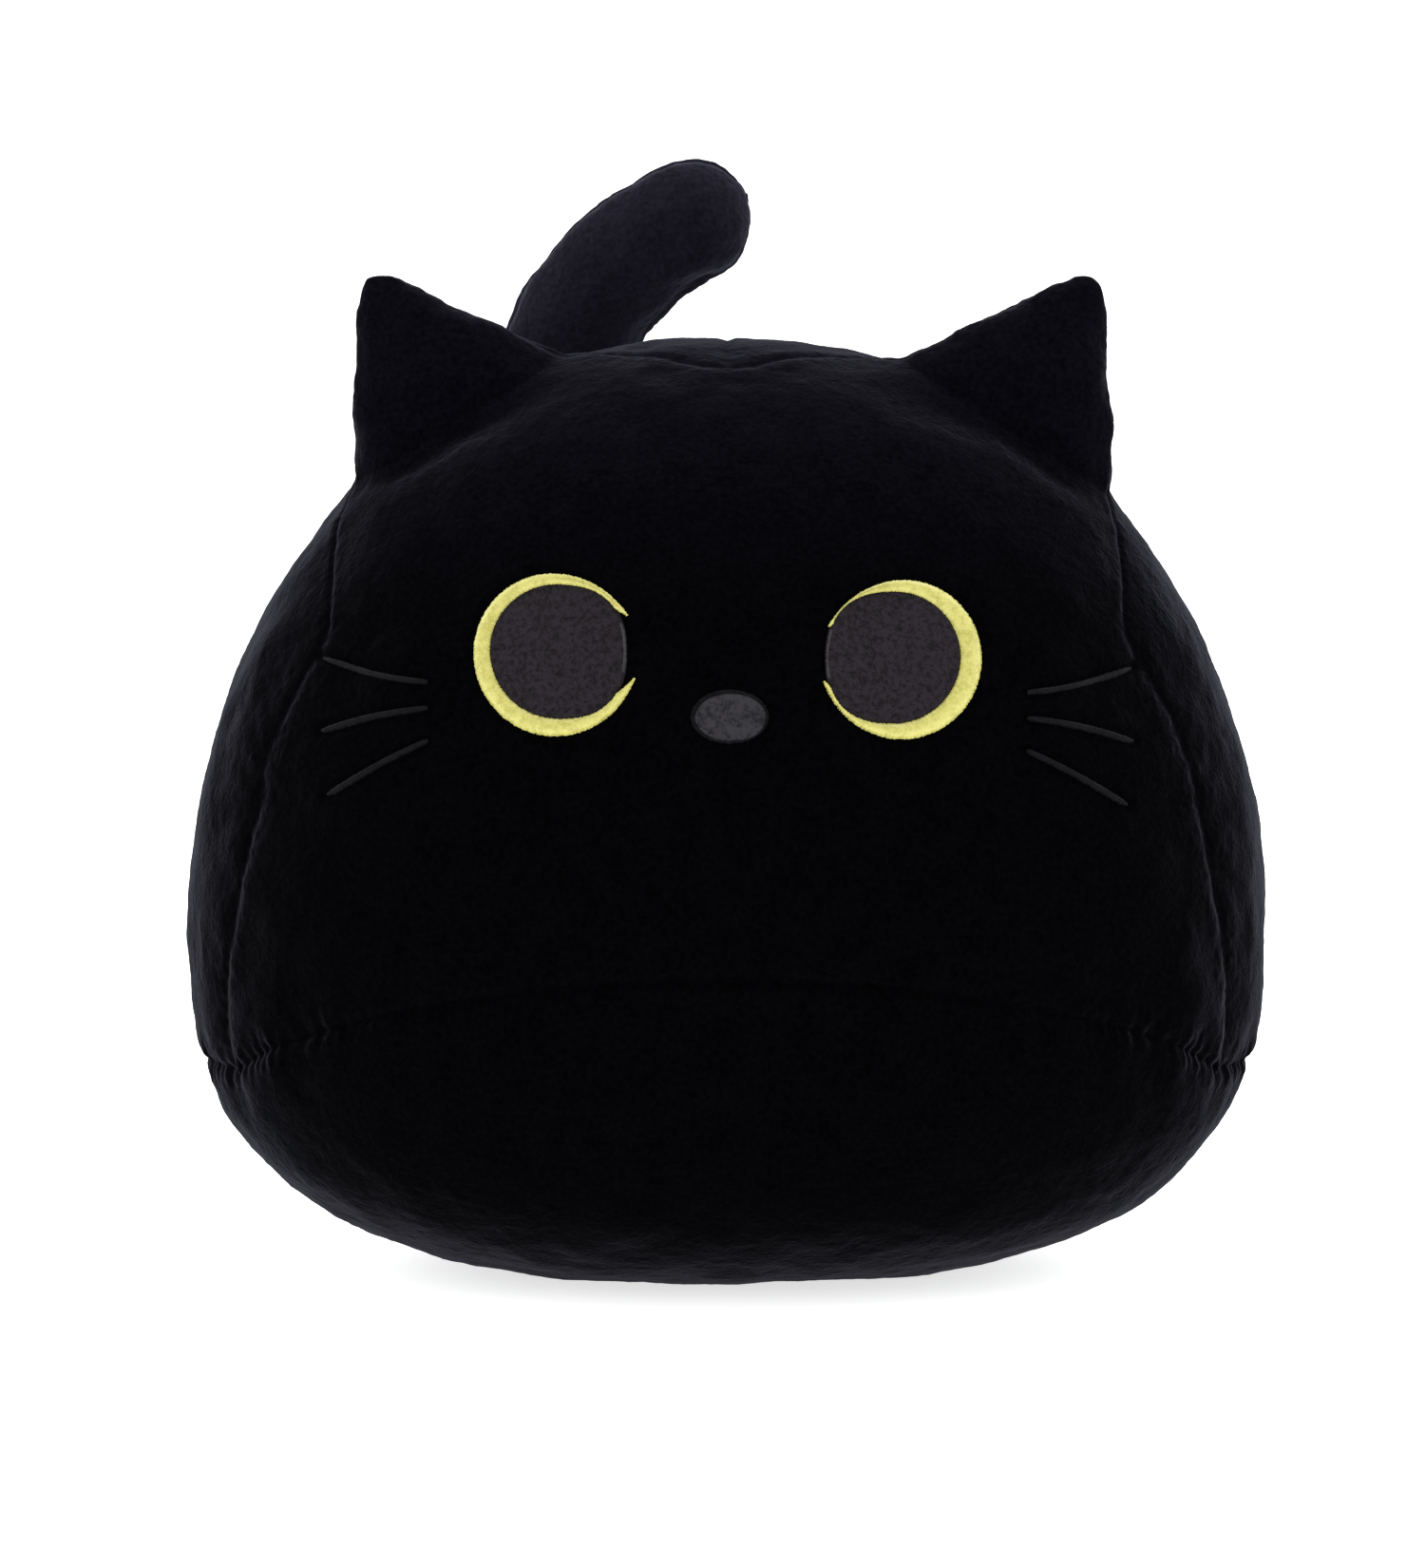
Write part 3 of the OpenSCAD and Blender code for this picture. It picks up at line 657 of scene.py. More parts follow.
def stitchedShare(points):
    # 1 where stitches press the pile down, fading to 0 beside them
    p = points[:, [0, 2]]
    gap = np.full(len(p), 1.0)
    for plan in eyePlans:
        gap = np.minimum(gap, np.linalg.norm(p - plan["ring"], axis=1) - plan["radius"])
    d = (p - nosePlan["middle"]) / nosePlan["size"]
    gap = np.minimum(gap, (np.linalg.norm(d, axis=1) - 1) * nosePlan["size"][1])
    for line in whiskerLines.values():
        a, b = line[0], line[-1]
        t = np.clip((p - a) @ (b - a) / ((b - a) @ (b - a)), 0, 1)
        gap = np.minimum(gap, np.linalg.norm(p - a - t[:, None] * (b - a), axis=1) - 0.0016)
    share = 1 - easeStep(-0.0004, 0.0020, gap)
    return np.where(points[:, 1] < 0, share, 0)


# the sewn panels

print("cutting the panels")
cutAlong(skin, bellySeam, everywhere)
cutAlong(skin, sideSeam, lambda p: bellySeam(p) > 0)
cutAlong(skin, centreSeam, lambda p: (bellySeam(p) > 0) & (sideSeam(p) > 0))
cutAlong(skin, earField, nearEar)
nearSeam = seamTrace(faceMiddles(skin))[0] < plushSet["fineReach"]
fineEdges = {e for f, near in zip(skin.faces, nearSeam) if near for e in f.edges}
bmesh.ops.subdivide_edges(skin, edges=list(fineEdges), cuts=1, use_grid_fill=True)
spots = readPoints(skin)
relief = seamRelief(*seamTrace(spots), seamSet)
relief += noiseField(spots, plushSet["napScale"], 11) * plushSet["nap"] * (1 - stitchedShare(spots))
relief -= plushSet["pressed"] * stitchedShare(spots)
press = np.exp(-(earField(spots) / earShape["footPressWidth"]) ** 2) * nearEar(spots)
relief -= earShape["footPress"] * press
relief = np.where((spots[:, 2] < 0.004) & (relief < 0), relief * 0.3, relief)
spots = spots + pointNormals(skin) * relief[:, None]
spots[:, 2] = np.maximum(spots[:, 2], 0)
middles = faceMiddles(skin)
writePoints(skin, spots)
bmesh.ops.recalc_face_normals(skin, faces=skin.faces[:])
skinTree = BVHTree.FromBMesh(skin)
isEar = nearEar(middles) & (earField(middles) > 0)
isBelly = bellySeam(middles) < 0
isFront = sideSeam(middles) < 0
isLeft = middles[:, 0] > 0
print("  faces:", len(middles), "ears", isEar.sum(), "belly", isBelly.sum())
# materials

plushLook = {
    "dark": (0.0004, 0.0004, 0.0006), "light": (0.0012, 0.0012, 0.0016),
    "paintedTopDark": (0.0014, 0.0012, 0.0024), "paintedTopLight": (0.0032, 0.0029, 0.0050),
    "paintedTopFrom": 0.25, "paintedTopTo": 0.35,        # painted light: the plush colour is lighter towards the top of the head and the ears, as if lit from above; the pile itself is the same all over
    "sheen": 0.128, "sheenTint": (0.56, 0.56, 0.70), "sheenRoughness": 0.31,
    "tuft": 520.0, "fibre": 1600.0, "brushed": 90.0,
}
satinLook = {"dark": (0.385, 0.355, 0.074), "light": (0.50, 0.47, 0.125)}
fillLook = {"dark": (0.0026, 0.0018, 0.0028), "light": (0.0142, 0.0108, 0.0146)}
noseLook = {"dark": (0.0045, 0.0040, 0.0053), "light": (0.0235, 0.0218, 0.0262)}
threadLook = {"dark": (0.0014, 0.0013, 0.0018), "light": (0.0036, 0.0033, 0.0044)}
outlineLook = {"dark": (0.020, 0.018, 0.021), "light": (0.034, 0.032, 0.036)}


class Look:
    # a material with a Principled shader, and short ways to add its nodes
    def __init__(self, name, roughness, specular):
        self.material = bpy.data.materials.new(name)
        self.material.use_nodes = True
        self.nodes = self.material.node_tree.nodes
        self.links = self.material.node_tree.links
        self.shader = self.nodes["Principled BSDF"]
        self.shader.inputs["Roughness"].default_value = roughness
        self.shader.inputs["Specular IOR Level"].default_value = specular
        self.place = self.nodes.new("ShaderNodeTexCoord").outputs["Object"]

    def noise(self, scale, detail=3.0, stretch=(1, 1, 1)):
        place = self.place
        if stretch != (1, 1, 1):
            mapping = self.nodes.new("ShaderNodeMapping")
            mapping.inputs["Scale"].default_value = stretch
            self.links.new(place, mapping.inputs["Vector"])
            place = mapping.outputs["Vector"]
        node = self.nodes.new("ShaderNodeTexNoise")
        node.inputs["Scale"].default_value = scale
        node.inputs["Detail"].default_value = detail
        self.links.new(place, node.inputs["Vector"])
        return node.outputs["Fac"]

    def ramp(self, value, low, high, dark, light):
        node = self.nodes.new("ShaderNodeValToRGB")
        node.color_ramp.elements[0].position = low
        node.color_ramp.elements[1].position = high
        node.color_ramp.elements[0].color = (*dark, 1)
        node.color_ramp.elements[1].color = (*light, 1)
        self.links.new(value, node.inputs["Fac"])
        return node.outputs["Color"]

    def mixed(self, a, b, share):
        node = self.nodes.new("ShaderNodeMath")
        node.operation = "MULTIPLY_ADD"
        self.links.new(b, node.inputs[0])
        node.inputs[1].default_value = share
        self.links.new(a, node.inputs[2])
        return node.outputs["Value"]

    def byHeight(self, low, high, start, end):
        # one colour below, another above, and an even change between
        split = self.nodes.new("ShaderNodeSeparateXYZ")
        self.links.new(self.place, split.inputs["Vector"])
        level = self.nodes.new("ShaderNodeMapRange")
        level.inputs["From Min"].default_value = start
        level.inputs["From Max"].default_value = end
        self.links.new(split.outputs["Z"], level.inputs["Value"])
        mix = self.nodes.new("ShaderNodeMix")
        mix.data_type = "RGBA"
        self.links.new(level.outputs["Result"], mix.inputs["Factor"])
        self.links.new(low, mix.inputs[6])
        self.links.new(high, mix.inputs[7])
        return mix.outputs[2]

    def bump(self, height, strength, distance):
        node = self.nodes.new("ShaderNodeBump")
        node.inputs["Strength"].default_value = strength
        node.inputs["Distance"].default_value = distance
        self.links.new(height, node.inputs["Height"])
        self.links.new(node.outputs["Normal"], self.shader.inputs["Normal"])

    def color(self, source):
        self.links.new(source, self.shader.inputs["Base Color"])

    def sheen(self, weight, tint, roughness):
        self.shader.inputs["Sheen Weight"].default_value = weight
        self.shader.inputs["Sheen Tint"].default_value = (*tint, 1)
        self.shader.inputs["Sheen Roughness"].default_value = roughness


# painted light: the tail and its collar get a much lighter colour than the body above the given height,
# standing in for the light that falls on the tail from above; the fabric is the same as the body's
tailLook = {**plushLook, "paintedTopDark": (0.0058, 0.0054, 0.0086), "paintedTopLight": (0.0112, 0.0106, 0.0170),
            "paintedTopFrom": 0.19, "paintedTopTo": 0.35, "sheen": 0.15}


def plushMaterial(name, plush):
    look = Look(name, 0.95, 0.003)
    tuft = look.noise(plush["tuft"], 4.0)
    brushed = look.noise(plush["brushed"], 3.0)
    fibre = look.noise(plush["fibre"], 2.0)
    pile = look.mixed(tuft, brushed, 0.35)
    low, high = (look.ramp(pile, 0.48, 0.88, plush[dark], plush[light])
                 for dark, light in (("dark", "light"), ("paintedTopDark", "paintedTopLight")))
    # painted light: above the given height the plush gets the lighter colour, standing in for the light from
    # above on the upper head and ears
    look.color(look.byHeight(low, high, plush["paintedTopFrom"], plush["paintedTopTo"]))
    look.bump(look.mixed(tuft, fibre, 0.45), 0.45, 0.0009)
    look.sheen(plush["sheen"], plush["sheenTint"], plush["sheenRoughness"])
    return look.material


def threadMaterial(name, colors, roughness, specular, grain, sheen=0.0):
    look = Look(name, roughness, specular)
    broad = look.noise(grain * 0.35, 3.0)
    fine = look.noise(grain, 4.0)
    look.color(look.ramp(look.mixed(broad, fine, 0.8), 0.70, 1.10, colors["dark"], colors["light"]))
    look.bump(fine, 0.35, 0.0004)
    if sheen:
        look.sheen(sheen, (1, 1, 1), 0.4)
    return look.material


def fibreMaterial(name, dark, light, grain, depth):
    look = Look(name, 0.95, 0.1)
    strands = look.noise(grain, 6.0, (1, 0.35, 1))
    look.color(look.ramp(strands, 0.3, 0.7, dark, light))
    look.bump(strands, 0.7, depth)
    return look.material


def ribbonMaterial():
    look = Look("labelRibbon", 0.5, 0.35)
    weave = look.nodes.new("ShaderNodeTexWave")
    weave.bands_direction = "Z"
    weave.inputs["Scale"].default_value = 900.0
    weave.inputs["Distortion"].default_value = 0.6
    look.links.new(look.place, weave.inputs["Vector"])
    look.color(look.ramp(weave.outputs["Fac"], 0.0, 1.0, (0.66, 0.66, 0.66), (0.80, 0.80, 0.80)))
    look.bump(weave.outputs["Fac"], 0.3, 0.00015)
    return look.material


blackPlush = plushMaterial("blackPlush", plushLook)
tailPlush = plushMaterial("tailPlush", tailLook)
yellowSatin = threadMaterial("yellowSatin", satinLook, 0.38, 0.45, 900.0, 0.15)
charcoalFill = threadMaterial("charcoalFill", fillLook, 0.68, 0.11, 1600.0)
charcoalNose = threadMaterial("charcoalNose", noseLook, 0.66, 0.14, 950.0)
darkThread = threadMaterial("darkThread", threadLook, 0.6, 0.05, 900.0)
outlineThread = threadMaterial("outlineThread", outlineLook, 0.6, 0.16, 900.0)
fillFibre = fibreMaterial("fillFibre", (0.62, 0.62, 0.60), (0.86, 0.86, 0.84), 260.0, 0.0016)
backingFleece = fibreMaterial("backingFleece", (0.66, 0.66, 0.64), (0.80, 0.80, 0.78), 900.0, 0.0003)
labelRibbon = ribbonMaterial()

# the sewn panels as pieces

print("making the panels")


def bendAtEar(piece):
    piece.parent = None
    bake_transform(piece)


def plushPiece(keep, name, node):
    piece = addPiece(partOf(skin, keep), name, "body", blackPlush, (node,))
    giveWall(piece, plushSet["wall"])
    return piece


plushPiece(~isEar & ~isBelly & isFront, "facePanel", "face_panel")
plushPiece(isBelly, "bellyPanel", "belly_panel")
plushPiece(~isEar & ~isBelly & ~isFront & isLeft, "backPanelLeft", "back_panel_left")
plushPiece(~isEar & ~isBelly & ~isFront & ~isLeft, "backPanelRight", "back_panel_right")
for side, word, onSide in ((1, "left", isLeft), (-1, "right", ~isLeft)):
    for face, half in (("Front", isFront), ("Back", ~isFront)):
        node = "%s_ear_%s" % (word, face.lower())
        bendAtEar(plushPiece(isEar & onSide & half, word + "Ear" + face, node))
skin.free()

# embroidery

stitchSet = {
    "pitch": 0.00046, "perThread": 4, "across": 8, "ridge": 0.00008, "sink": 0.0010,
    "satinRise": 0.0012, "fillRise": 0.00005, "fillCells": 56, "ragged": 0.00016,
}


def onFace(flat, lift):
    # points at x and z on the face, moved out by lift
    out = np.empty((len(flat), 3))
    for i, (x, z) in enumerate(flat.tolist()):
        spot, normal, _, _ = faceTree.ray_cast(Vector((x, -0.4, z)), Vector((0, 1, 0)))
        out[i] = spot + normal * float(lift[i])
    return out


def outwards(bm):
    # a sheet on the face has its normals towards the front
    bm.normal_update()
    if sum(f.normal.y * f.calc_area() for f in bm.faces) > 0:
        bmesh.ops.reverse_faces(bm, faces=bm.faces[:])
    return bm


def satinBand(first, second, rise, seed, crease=None):
    # satin threads laid from one edge line to the other
    s = stitchSet
    length = np.linalg.norm(np.diff((first + second) / 2, axis=0), axis=1).sum()
    count = max(6, round(length / s["pitch"]))
    bm = bmesh.new()
    bmesh.ops.create_grid(bm, x_segments=count * s["perThread"], y_segments=s["across"], size=1)
    flat = readPoints(bm)
    u, t = (flat[:, 0] + 1) / 2, (flat[:, 1] + 1) / 2
    stops = np.linspace(0, 1, len(first))
    a, b = [np.column_stack([np.interp(u, stops, line[:, k]) for k in (0, 1)]) for line in (first, second)]
    thread = np.clip((u * count).astype(int), 0, count - 1)
    draws = np.random.default_rng(seed).uniform(-1, 1, (count, 2))
    width = np.maximum(np.linalg.norm(b - a, axis=1), 1e-6)
    reach = t + (2 * t - 1) * draws[thread, 0] * s["ragged"] / width * (np.abs(2 * t - 1) > 0.6)
    dome = np.maximum(1 - np.abs(2 * t - 1) ** 2.1, 0) ** 0.62
    ridge = s["ridge"] * (0.5 - 0.5 * np.cos(2 * math.pi * u * count)) + 0.00003 * draws[thread, 1]
    top = rise * np.minimum(1, width / 0.0028)
    lift = -s["sink"] + (s["sink"] + top + ridge) * dome
    if crease is not None:
        lift -= np.interp(u, stops, crease) * np.exp(-((t - 0.5) / 0.12) ** 2)
    writePoints(bm, onFace(a + (b - a) * reach[:, None], lift))
    return outwards(bm)


def fillPatch(middleAt, size, seed, side=0, bulge=0.0):
    # side tells where the nose is, and bulge how far the patch squares out towards it
    s = stitchSet
    bm, disc = discGrid(s["fillCells"], s["fillCells"])
    share = np.linalg.norm(disc, axis=1)
    turn = np.arctan2(disc[:, 1], np.maximum(-side * disc[:, 0], 0))
    flat = middleAt + disc * size * (1 + bulge * np.sin(2 * turn) ** 2)[:, None]
    spread = np.column_stack((flat[:, 0], np.full(len(flat), 0.0), flat[:, 1]))
    uneven = noiseField(spread, 0.006, seed) * 0.00018 + noiseField(spread, 0.0022, seed + 1) * 0.00010
    edge = easeStep(0.955, 1.0, share)
    lift = (s["fillRise"] + uneven) * (1 - edge) - s["sink"] * edge
    writePoints(bm, onFace(flat, lift))
    return outwards(bm)


def roundLine(middleAt, radii, angles, side=1):
    # x and z round a middle; angle 0 points away from the nose
    return middleAt + np.column_stack((side * np.cos(angles), np.sin(angles))) * radii


ringSet = {
    "tip": 0.0007, "tipFrom": 62.0, "widest": 0.0095, "flare": 0.0010, "over": 0.0003,
    "crease": 0.0006, "bulge": 0.07, "underRing": 0.0010,
}


def pupilEdge(plan, angles):
    # how far the pupil's edge lies from its middle; towards the nose it squares out a little
    w, h = plan["discSize"]
    towards = np.arctan2(np.abs(np.sin(angles)), np.maximum(-np.cos(angles), 0))
    ellipse = 1 / np.sqrt((np.cos(angles) / w) ** 2 + (np.sin(angles) / h) ** 2)
    return ellipse * (1 + ringSet["bulge"] * np.sin(2 * towards) ** 2)


def eyeRing(plan, seed):
    upper, lower = (math.radians(a) for a in plan["tips"])
    angles = np.linspace(lower, upper, 181)
    ways = np.column_stack((plan["side"] * np.cos(angles), np.sin(angles)))
    # the ring is a circle outside and follows the pupil inside, so its width varies round the eye
    d, w = (plan["disc"] - plan["ring"]) / plan["ringSize"], ways / plan["ringSize"]
    a, b, c = (w * w).sum(axis=1), (w * d).sum(axis=1), (d * d).sum() - 1
    end = np.where(angles > 0, upper, -lower)
    near = 1 - np.clip((end - np.abs(angles)) / math.radians(ringSet["tipFrom"]), 0, 1)
    outer = (np.sqrt(b * b - a * c) - b) / a + ringSet["flare"] * near ** 3
    inner = pupilEdge(plan, angles) + ringSet["over"]
    inner = np.maximum(inner, outer - ringSet["tip"] - ringSet["widest"] * (1 - near ** 1.3))
    first, second = (plan["disc"] + ways * reach[:, None] for reach in (outer, inner))
    crease = ringSet["crease"] * easeStep(1.1, 1.6, angles) * (1 - near ** 4)
    return satinBand(first, second, stitchSet["satinRise"], seed, crease)


def stitchedPiece(bm, name, node, material):
    piece = addPiece(bm, name, "body", material, (node,))
    giveWall(piece, 0.0004)
    return piece


whiskerSet = {"half": 0.0012, "rise": 0.0005}
outlineSet = {"out": 0.0008, "in": 0.0006, "rise": 0.00025, "span": (180 - 24, 180 + 16)}
print("embroidering the face")
for plan in eyePlans:
    word = plan["node"]
    stitchedPiece(eyeRing(plan, 5 + plan["side"]), word + "EyeRing", word + "_eye_ring", yellowSatin)
    patch = fillPatch(plan["disc"], plan["discSize"] + ringSet["underRing"], 20 + plan["side"],
                      plan["side"], ringSet["bulge"])
    stitchedPiece(patch, word + "EyeFill", word + "_eye_fill", charcoalFill)
    span = np.radians(np.linspace(*outlineSet["span"], 40))
    edge = pupilEdge(plan, span)[:, None]
    arc = satinBand(roundLine(plan["disc"], edge + outlineSet["out"], span, plan["side"]),
                    roundLine(plan["disc"], edge - outlineSet["in"], span, plan["side"]),
                    outlineSet["rise"], 30 + plan["side"])
    stitchedPiece(arc, word + "EyeOutline", word + "_eye_outline", outlineThread)
    for row in whiskerRows:
        line = whiskerLines[word, row]
        way = np.gradient(line, axis=0)
        across = np.column_stack((-way[:, 1], way[:, 0])) / np.linalg.norm(way, axis=1)[:, None]
        t = np.linspace(-1, 1, len(line))
        half = (whiskerSet["half"] * np.sqrt(1 - (0.98 * np.abs(t)) ** 10))[:, None]
        bm = satinBand(line + across * half, line - across * half, whiskerSet["rise"], 40)
        stitchedPiece(bm, word + "Whisker" + row.capitalize(), "%s_whisker_%s" % (word, row), darkThread)
turn = np.linspace(0, 2 * math.pi, 121)
noseSet = {"off": np.array((0.0004, -0.0005)), "fillIn": 0.0009, "outline": 0.0019, "rise": 0.00012}
noseAt, noseSize = nosePlan["middle"], nosePlan["size"]
noseFill = fillPatch(noseAt + noseSet["off"], noseSize - noseSet["fillIn"], 50)
stitchedPiece(noseFill, "noseFill", "nose_fill", charcoalNose)
noseOutline = satinBand(roundLine(noseAt, noseSize, turn),
                        roundLine(noseAt + noseSet["off"] / 2, noseSize - noseSet["outline"], turn),
                        noseSet["rise"], 51)
stitchedPiece(noseOutline, "noseOutline", "nose_outline", darkThread)

# tail

tailShape = {
    "rootRadius": 0.0267, "tipRadius": 0.0211, "length": 0.2228,
    "lean": 66.5, "curl": 136.0, "curlPower": 1.17, "forward": 0.028,
    "around": 72, "along": 150, "steps": 240,
}
tailSim = {
    "pressure": 3.0, "quality": 4, "stiffness": 15, "bending": 0.4,
    "ease": 0.0, "gather": 0.03, "frames": 12, "keep": 0.5, "cap": 0.002,
}
tailSeams = {
    "groove": 0.0012, "grooveWidth": 0.0018, "shoulder": 0.0003, "shoulderAt": 0.0045,
    "pucker": 0.00015, "puckerPitch": 0.0056, "wave": 0.0004, "wavePitch": 0.021,
}
joints = {j["name"]: j for j in frame["record"]["behaviour"]["joints"]}
tailPivot = np.array(joints["tail_tilt"]["pos_m"])


def tailLine():
    n = tailShape["steps"]
    share = (np.arange(n) + 0.5) / n
    heading = np.radians(-tailShape["lean"] + tailShape["curl"] * share ** tailShape["curlPower"])
    step = tailShape["length"] / n * np.column_stack((np.sin(heading), np.zeros(n), np.cos(heading)))
    line = np.vstack((np.zeros(3), np.cumsum(step, axis=0)))
    line[:, 1] = -tailShape["forward"] * easeStep(0, 1, np.linspace(0, 1, n + 1))
    return tailPivot + line


def tailForm(inset, around, along, start=0.0):
    # a round-ended tube along the tail's line; the "way" layer keeps each point's turn and place
    line = tailLine()
    n = len(line) - 1
    way = np.gradient(line, axis=0)
    way /= np.linalg.norm(way, axis=1)[:, None]
    bm = bmesh.new()
    bmesh.ops.create_uvsphere(bm, u_segments=around, v_segments=along, radius=1)
    ball = readPoints(bm)
    r0 = tailShape["rootRadius"] - inset
    r1 = tailShape["tipRadius"] - inset
    capA, capB = r0 * math.pi / 2, r1 * math.pi / 2
    body = tailShape["length"] - start
    run = (np.arcsin(np.clip(ball[:, 2], -1, 1)) / math.pi + 0.5) * (capA + body + capB)
    share = np.clip((run - capA) / body, 0, 1)
    place = (start + share * body) / tailShape["length"]
    pastTip = np.where(run > capA + body, (run - capA - body) / r1, 0)
    capTurn = np.where(run < capA, (capA - run) / r0, pastTip)
    radius = r0 + (r1 - r0) * place
    ahead = np.where(run < capA, -1, 1) * np.sin(capTurn) * radius
    stops = np.linspace(0, 1, n + 1)
    centre = np.column_stack([np.interp(place, stops, line[:, k]) for k in range(3)])
    forward = np.column_stack([np.interp(place, stops, way[:, k]) for k in range(3)])
    right = np.cross((0, 1, 0), forward)
    right /= np.linalg.norm(right, axis=1)[:, None]
    front = np.cross(forward, right)
    front *= -np.sign(front[:, 1])[:, None]
    turn = np.arctan2(ball[:, 1], ball[:, 0])
    wide = (radius * np.cos(capTurn))[:, None]
    spoke = right * np.cos(turn)[:, None] + front * np.sin(turn)[:, None]
    out = centre + forward * ahead[:, None] + wide * spoke
    layer = bm.verts.layers.float_vector.new("way")
    for v, c, s, w in zip(bm.verts, np.cos(turn).tolist(), np.sin(turn).tolist(), run.tolist()):
        v[layer] = (c, s, w)
    writePoints(bm, out)
    bmesh.ops.recalc_face_normals(bm, faces=bm.faces[:])
    return bm


def readWay(bm):
    layer = bm.verts.layers.float_vector["way"]
    return np.array([v[layer][:] for v in bm.verts], float).reshape(-1, 3)


def tailSeamGap(way):
    radius = (tailShape["rootRadius"] + tailShape["tipRadius"]) / 2
    return radius * np.arcsin(np.clip(np.abs(way[:, 1]), 0, 1))


print("shaping the tail")
tail = tailForm(0.0004, tailShape["around"], tailShape["along"])
tail = finer(stuffed(tail, np.exp(-(tailSeamGap(readWay(tail)) / 0.004) ** 2), tailSim))
way = readWay(tail)
spots = readPoints(tail)
side = np.sign(way[:, 0])
even = np.ones(len(way))
relief = seamRelief(tailSeamGap(way), way[:, 2] + side * 0.05, even, even, tailSeams)
relief += noiseField(spots, plushSet["lumpScale"] * 0.7, 7) * plushSet["lump"] * 0.8
relief += noiseField(spots, plushSet["napScale"], 12) * plushSet["nap"]
wayLayer = tail.verts.layers.float_vector["way"]
tailFront = np.array([sum(v[wayLayer][1] for v in f.verts) > 0 for f in tail.faces])
writePoints(tail, spots + pointNormals(tail) * relief[:, None])
for keep, word in ((tailFront, "front"), (~tailFront, "back")):
    node = "tail_%s_panel" % word
    piece = addPiece(partOf(tail, keep), "tail" + word.capitalize(), "tail", tailPlush, (node,))
    giveWall(piece, 0.0018)
tail.free()

# the gathered collar that the tail is sewn on with

collarSet = {"radius": 0.0185, "pleats": 22, "depth": 0.0011, "rings": 10}


def buildCollar():
    back = skinTree.ray_cast(Vector((0, 0.4, float(tailPivot[2]))), Vector((0, -1, 0)))[0]
    ballGap = math.sqrt(tailShape["rootRadius"] ** 2 - collarSet["radius"] ** 2)
    fromY, toY = back.y - 0.004, tailPivot[1] - ballGap + 0.0010
    bm = bmesh.new()
    bmesh.ops.create_cone(bm, segments=collarSet["pleats"] * 8, radius1=1, radius2=1, depth=1, cap_ends=False)
    bmesh.ops.subdivide_edges(bm, edges=[e for e in bm.edges if abs(e.verts[0].co.z - e.verts[1].co.z) > 0.5],
                              cuts=collarSet["rings"], use_grid_fill=True)
    p = readPoints(bm)
    turn = np.arctan2(p[:, 1], p[:, 0])
    share = p[:, 2] + 0.5
    belly = 0.0012 * np.sin(math.pi * share)
    pleats = np.cos(turn * collarSet["pleats"] + 0.7 * np.sin(3 * turn)) * (0.4 + 0.6 * share)
    radius = collarSet["radius"] + 0.0022 * (1 - share) + belly + collarSet["depth"] * pleats
    writePoints(bm, np.column_stack((radius * np.cos(turn), fromY + (toY - fromY) * share,
                                     tailPivot[2] + radius * np.sin(turn))))
    bmesh.ops.recalc_face_normals(bm, faces=bm.faces[:])
    axis = Vector((0, 0, tailPivot[2]))
    if sum(((f.calc_center_median() - axis) * Vector((1, 0, 1))).dot(f.normal) for f in bm.faces) < 0:
        bmesh.ops.reverse_faces(bm, faces=bm.faces[:])
    return bm


collar = addPiece(buildCollar(), "tailCollar", "body", tailPlush, ())
giveWall(collar, 0.0012)

# fibre fill, embroidery backing, closing stitches and label

print("filling")
fillSet = {
    "bodyGap": 0.0066, "earGap": 0.0042, "tailGap": 0.0048, "earShare": 0.68, "tailStart": 0.041,
    "lump": 0.0022, "lumpScale": 0.020, "cells": 39, "backingCells": (70, 40), "backingDepth": 0.0048,
    "backingEase": 1.09,    # the backing was cut this much wider before it followed the cheeks
}


def lumpy(bm, seed):
    points = readPoints(bm)
    dent = np.abs(noiseField(points, fillSet["lumpScale"], seed)) * fillSet["lump"]
    writePoints(bm, points - pointNormals(bm) * dent[:, None])
    return bm


def keptInside(bm, tree, gap, home):
    # in tight corners, where no place is deep enough, a point moves towards home instead
    home = Vector(home)
    for v in bm.verts:
        for attempt in range(12):
            spot, normal, _, _ = tree.find_nearest(v.co)
            if (v.co - spot).dot(normal) < -0.9 * gap:
                break
            v.co = spot - normal * gap if attempt % 2 == 0 else v.co.lerp(home, 0.12)
    return bm


def bodyFill():
    bm, ways = cubeBall(fillSet["cells"])
    writePoints(bm, middle + ways * (bodyReach(ways) - fillSet["bodyGap"])[:, None])
    return keptInside(lumpy(bm, 21), skinTree, fillSet["bodyGap"], middle)


def earFill(side):
    bm = earSolid(side, fillSet["earShare"])
    points = readPoints(bm)
    over = overBody(points)
    d = points - middle
    r = np.linalg.norm(d, axis=1)
    lifted = middle + d / r[:, None] * (r + np.maximum(0.004 - over, 0))[:, None]
    writePoints(bm, lifted)
    heart = earMiddle + earUp * 0.026
    home = (side * heart[0], -seamSet["earDepth"], heart[1])
    return keptInside(lumpy(bm, 22 + side), skinTree, fillSet["earGap"], home)


def fillPiece(bm, name, body, node):
    piece = addPiece(bm, name, body, fillFibre, (node,))
    return piece


fillPiece(bodyFill(), "bodyFill", "body", "body_stuffing")
for side, word in ((1, "left"), (-1, "right")):
    bendAtEar(fillPiece(earFill(side), word + "EarFill", "body", word + "_ear_stuffing"))
tailInner = tailForm(fillSet["tailGap"] + 0.001, 36, 70, fillSet["tailStart"])
fillPiece(lumpy(tailInner, 25), "tailFill", "tail", "tail_stuffing")
bm = bmesh.new()
bmesh.ops.create_icosphere(bm, subdivisions=5, radius=tailShape["rootRadius"] - fillSet["tailGap"])
bmesh.ops.translate(bm, verts=bm.verts[:], vec=Vector(tailPivot))
fillPiece(lumpy(bm, 26), "tailRootFill", "tail_root", "tail_root_stuffing")


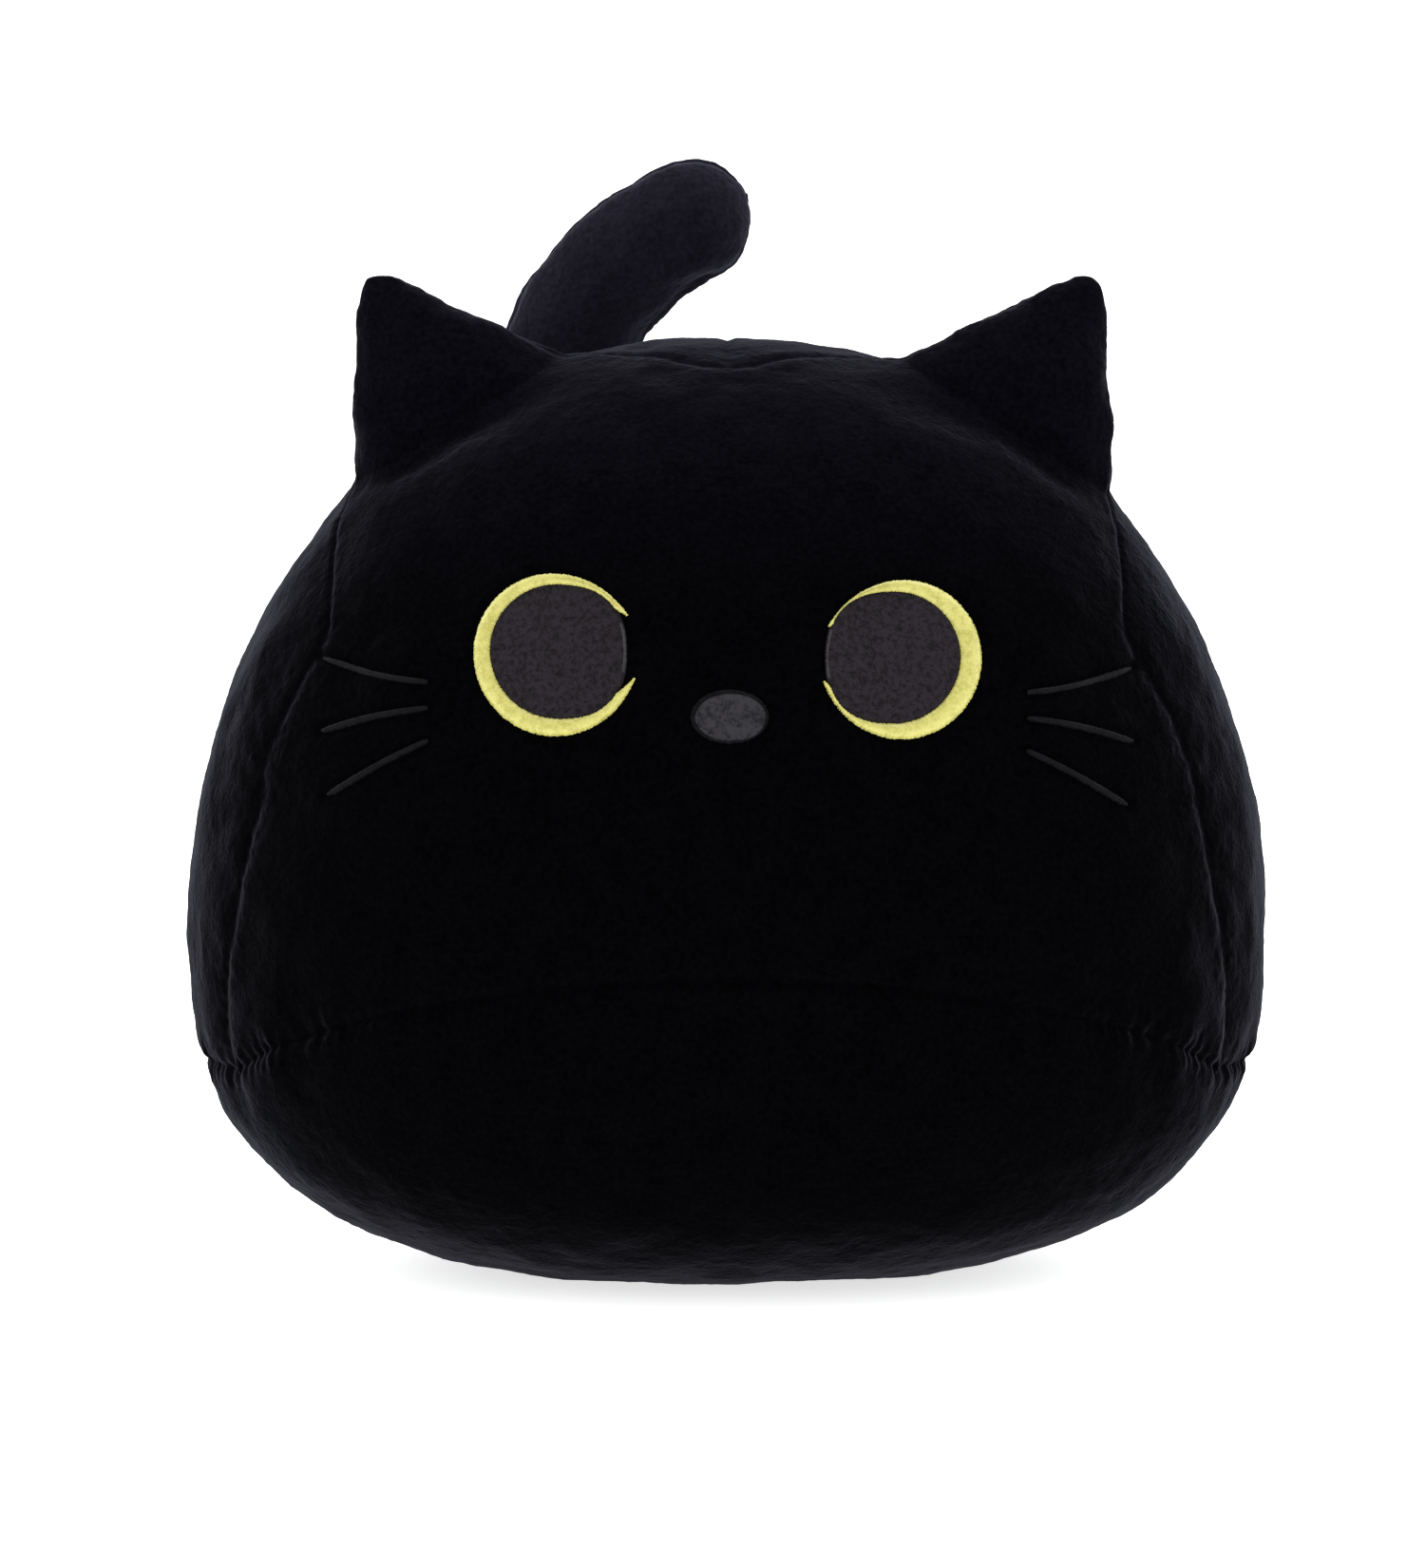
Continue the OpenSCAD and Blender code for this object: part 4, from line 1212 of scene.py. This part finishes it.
def backingSheet():
    low, high = boxOf("embroidery_backing")
    bm, disc = discGrid(*fillSet["backingCells"])
    size = np.array((high[0] - low[0], high[2] - low[2])) / 2
    flat = np.array((0, (low[2] + high[2]) / 2)) + disc * size
    writePoints(bm, onFace(flat, np.full(len(flat), -fillSet["backingDepth"])))
    return outwards(bm), 2 * size[0]


sheet, wide = backingSheet()
area = sum(f.calc_area() for f in sheet.faces)
backing = addPiece(sheet, "embroideryBacking", "body", backingFleece, ("embroidery_backing",))
giveWall(backing, 0.0005)


def curveTube(runs, radius):
    # round threads through lists of points
    curve = bpy.data.curves.new("thread", "CURVE")
    curve.dimensions = "3D"
    curve.bevel_depth = radius
    curve.bevel_resolution = 2
    curve.use_fill_caps = True
    for run in runs:
        spline = curve.splines.new("POLY")
        spline.points.add(len(run) - 1)
        for point, place in zip(spline.points, run):
            point.co = (*place, 1)
    helper = bpy.data.objects.new("thread", curve)
    bpy.context.scene.collection.objects.link(helper)
    mesh = bpy.data.meshes.new_from_object(helper.evaluated_get(bpy.context.evaluated_depsgraph_get()))
    bm = bmesh.new()
    bm.from_mesh(mesh)
    bpy.data.objects.remove(helper)
    bpy.data.curves.remove(curve)
    bpy.data.meshes.remove(mesh)
    bmesh.ops.remove_doubles(bm, verts=bm.verts[:], dist=1e-6)
    bmesh.ops.recalc_face_normals(bm, faces=bm.faces[:])
    return bm


def closingThread():
    low, high = boxOf("closing_thread")
    count = 11
    reach = (high[0] - low[0]) / 2 - 0.0009
    run = []
    for k in range(2 * count * 8 + 1):
        t = k / 8
        saw = 1 - 2 * abs(t % 2 - 1)
        x = reach * math.sin(math.pi / 2 * saw)
        z = low[2] + (high[2] - low[2]) * t / (2 * count)
        spot, normal, _, _ = skinTree.ray_cast(Vector((x, 0.4, z)), Vector((0, -1, 0)))
        run.append(spot + normal * 0.0003)
    return curveTube([run], 0.00045)


addPiece(closingThread(), "closingThread", "body", darkThread, ("closing_thread",))


def labelRibbonSheet():
    low, high = boxOf("care_label")
    bm = bmesh.new()
    bmesh.ops.create_grid(bm, x_segments=16, y_segments=96, size=1)
    flat = readPoints(bm)
    x = (low[0] + high[0]) / 2 + flat[:, 0] * (high[0] - low[0]) / 2
    fold = 0.00035                          # radius of the fold, and half the space between the layers
    long = high[2] - low[2] - fold - 0.0004
    run = (flat[:, 1] + 1) / 2 * (2 * long + math.pi * fold)
    y0 = (low[1] + high[1]) / 2
    turn = np.clip((run - long) / fold, 0, math.pi)
    back = run > long + math.pi * fold
    down = np.where(back, 2 * long + math.pi * fold - run, np.minimum(run, long))
    z = high[2] - 0.0002 - down - fold * np.sin(turn)
    y = y0 + fold * np.cos(turn)
    # it leans away from the plush and is bowed a little across
    lean = 0.0036 * np.clip((high[2] - z) / (high[2] - low[2]), 0, 1) ** 0.6
    curlOut = lean + 0.0004 * np.sin(flat[:, 0] * 2.4)
    writePoints(bm, np.column_stack((x, y + curlOut, z)))
    bmesh.ops.recalc_face_normals(bm, faces=bm.faces[:])
    return bm, 2 * long + math.pi * fold, high[0] - low[0]


ribbon, ribbonLong, ribbonWide = labelRibbonSheet()
label = addPiece(ribbon, "labelRibbon", "care_label", labelRibbon, ("care_label",))
giveWall(label, 0.0002)
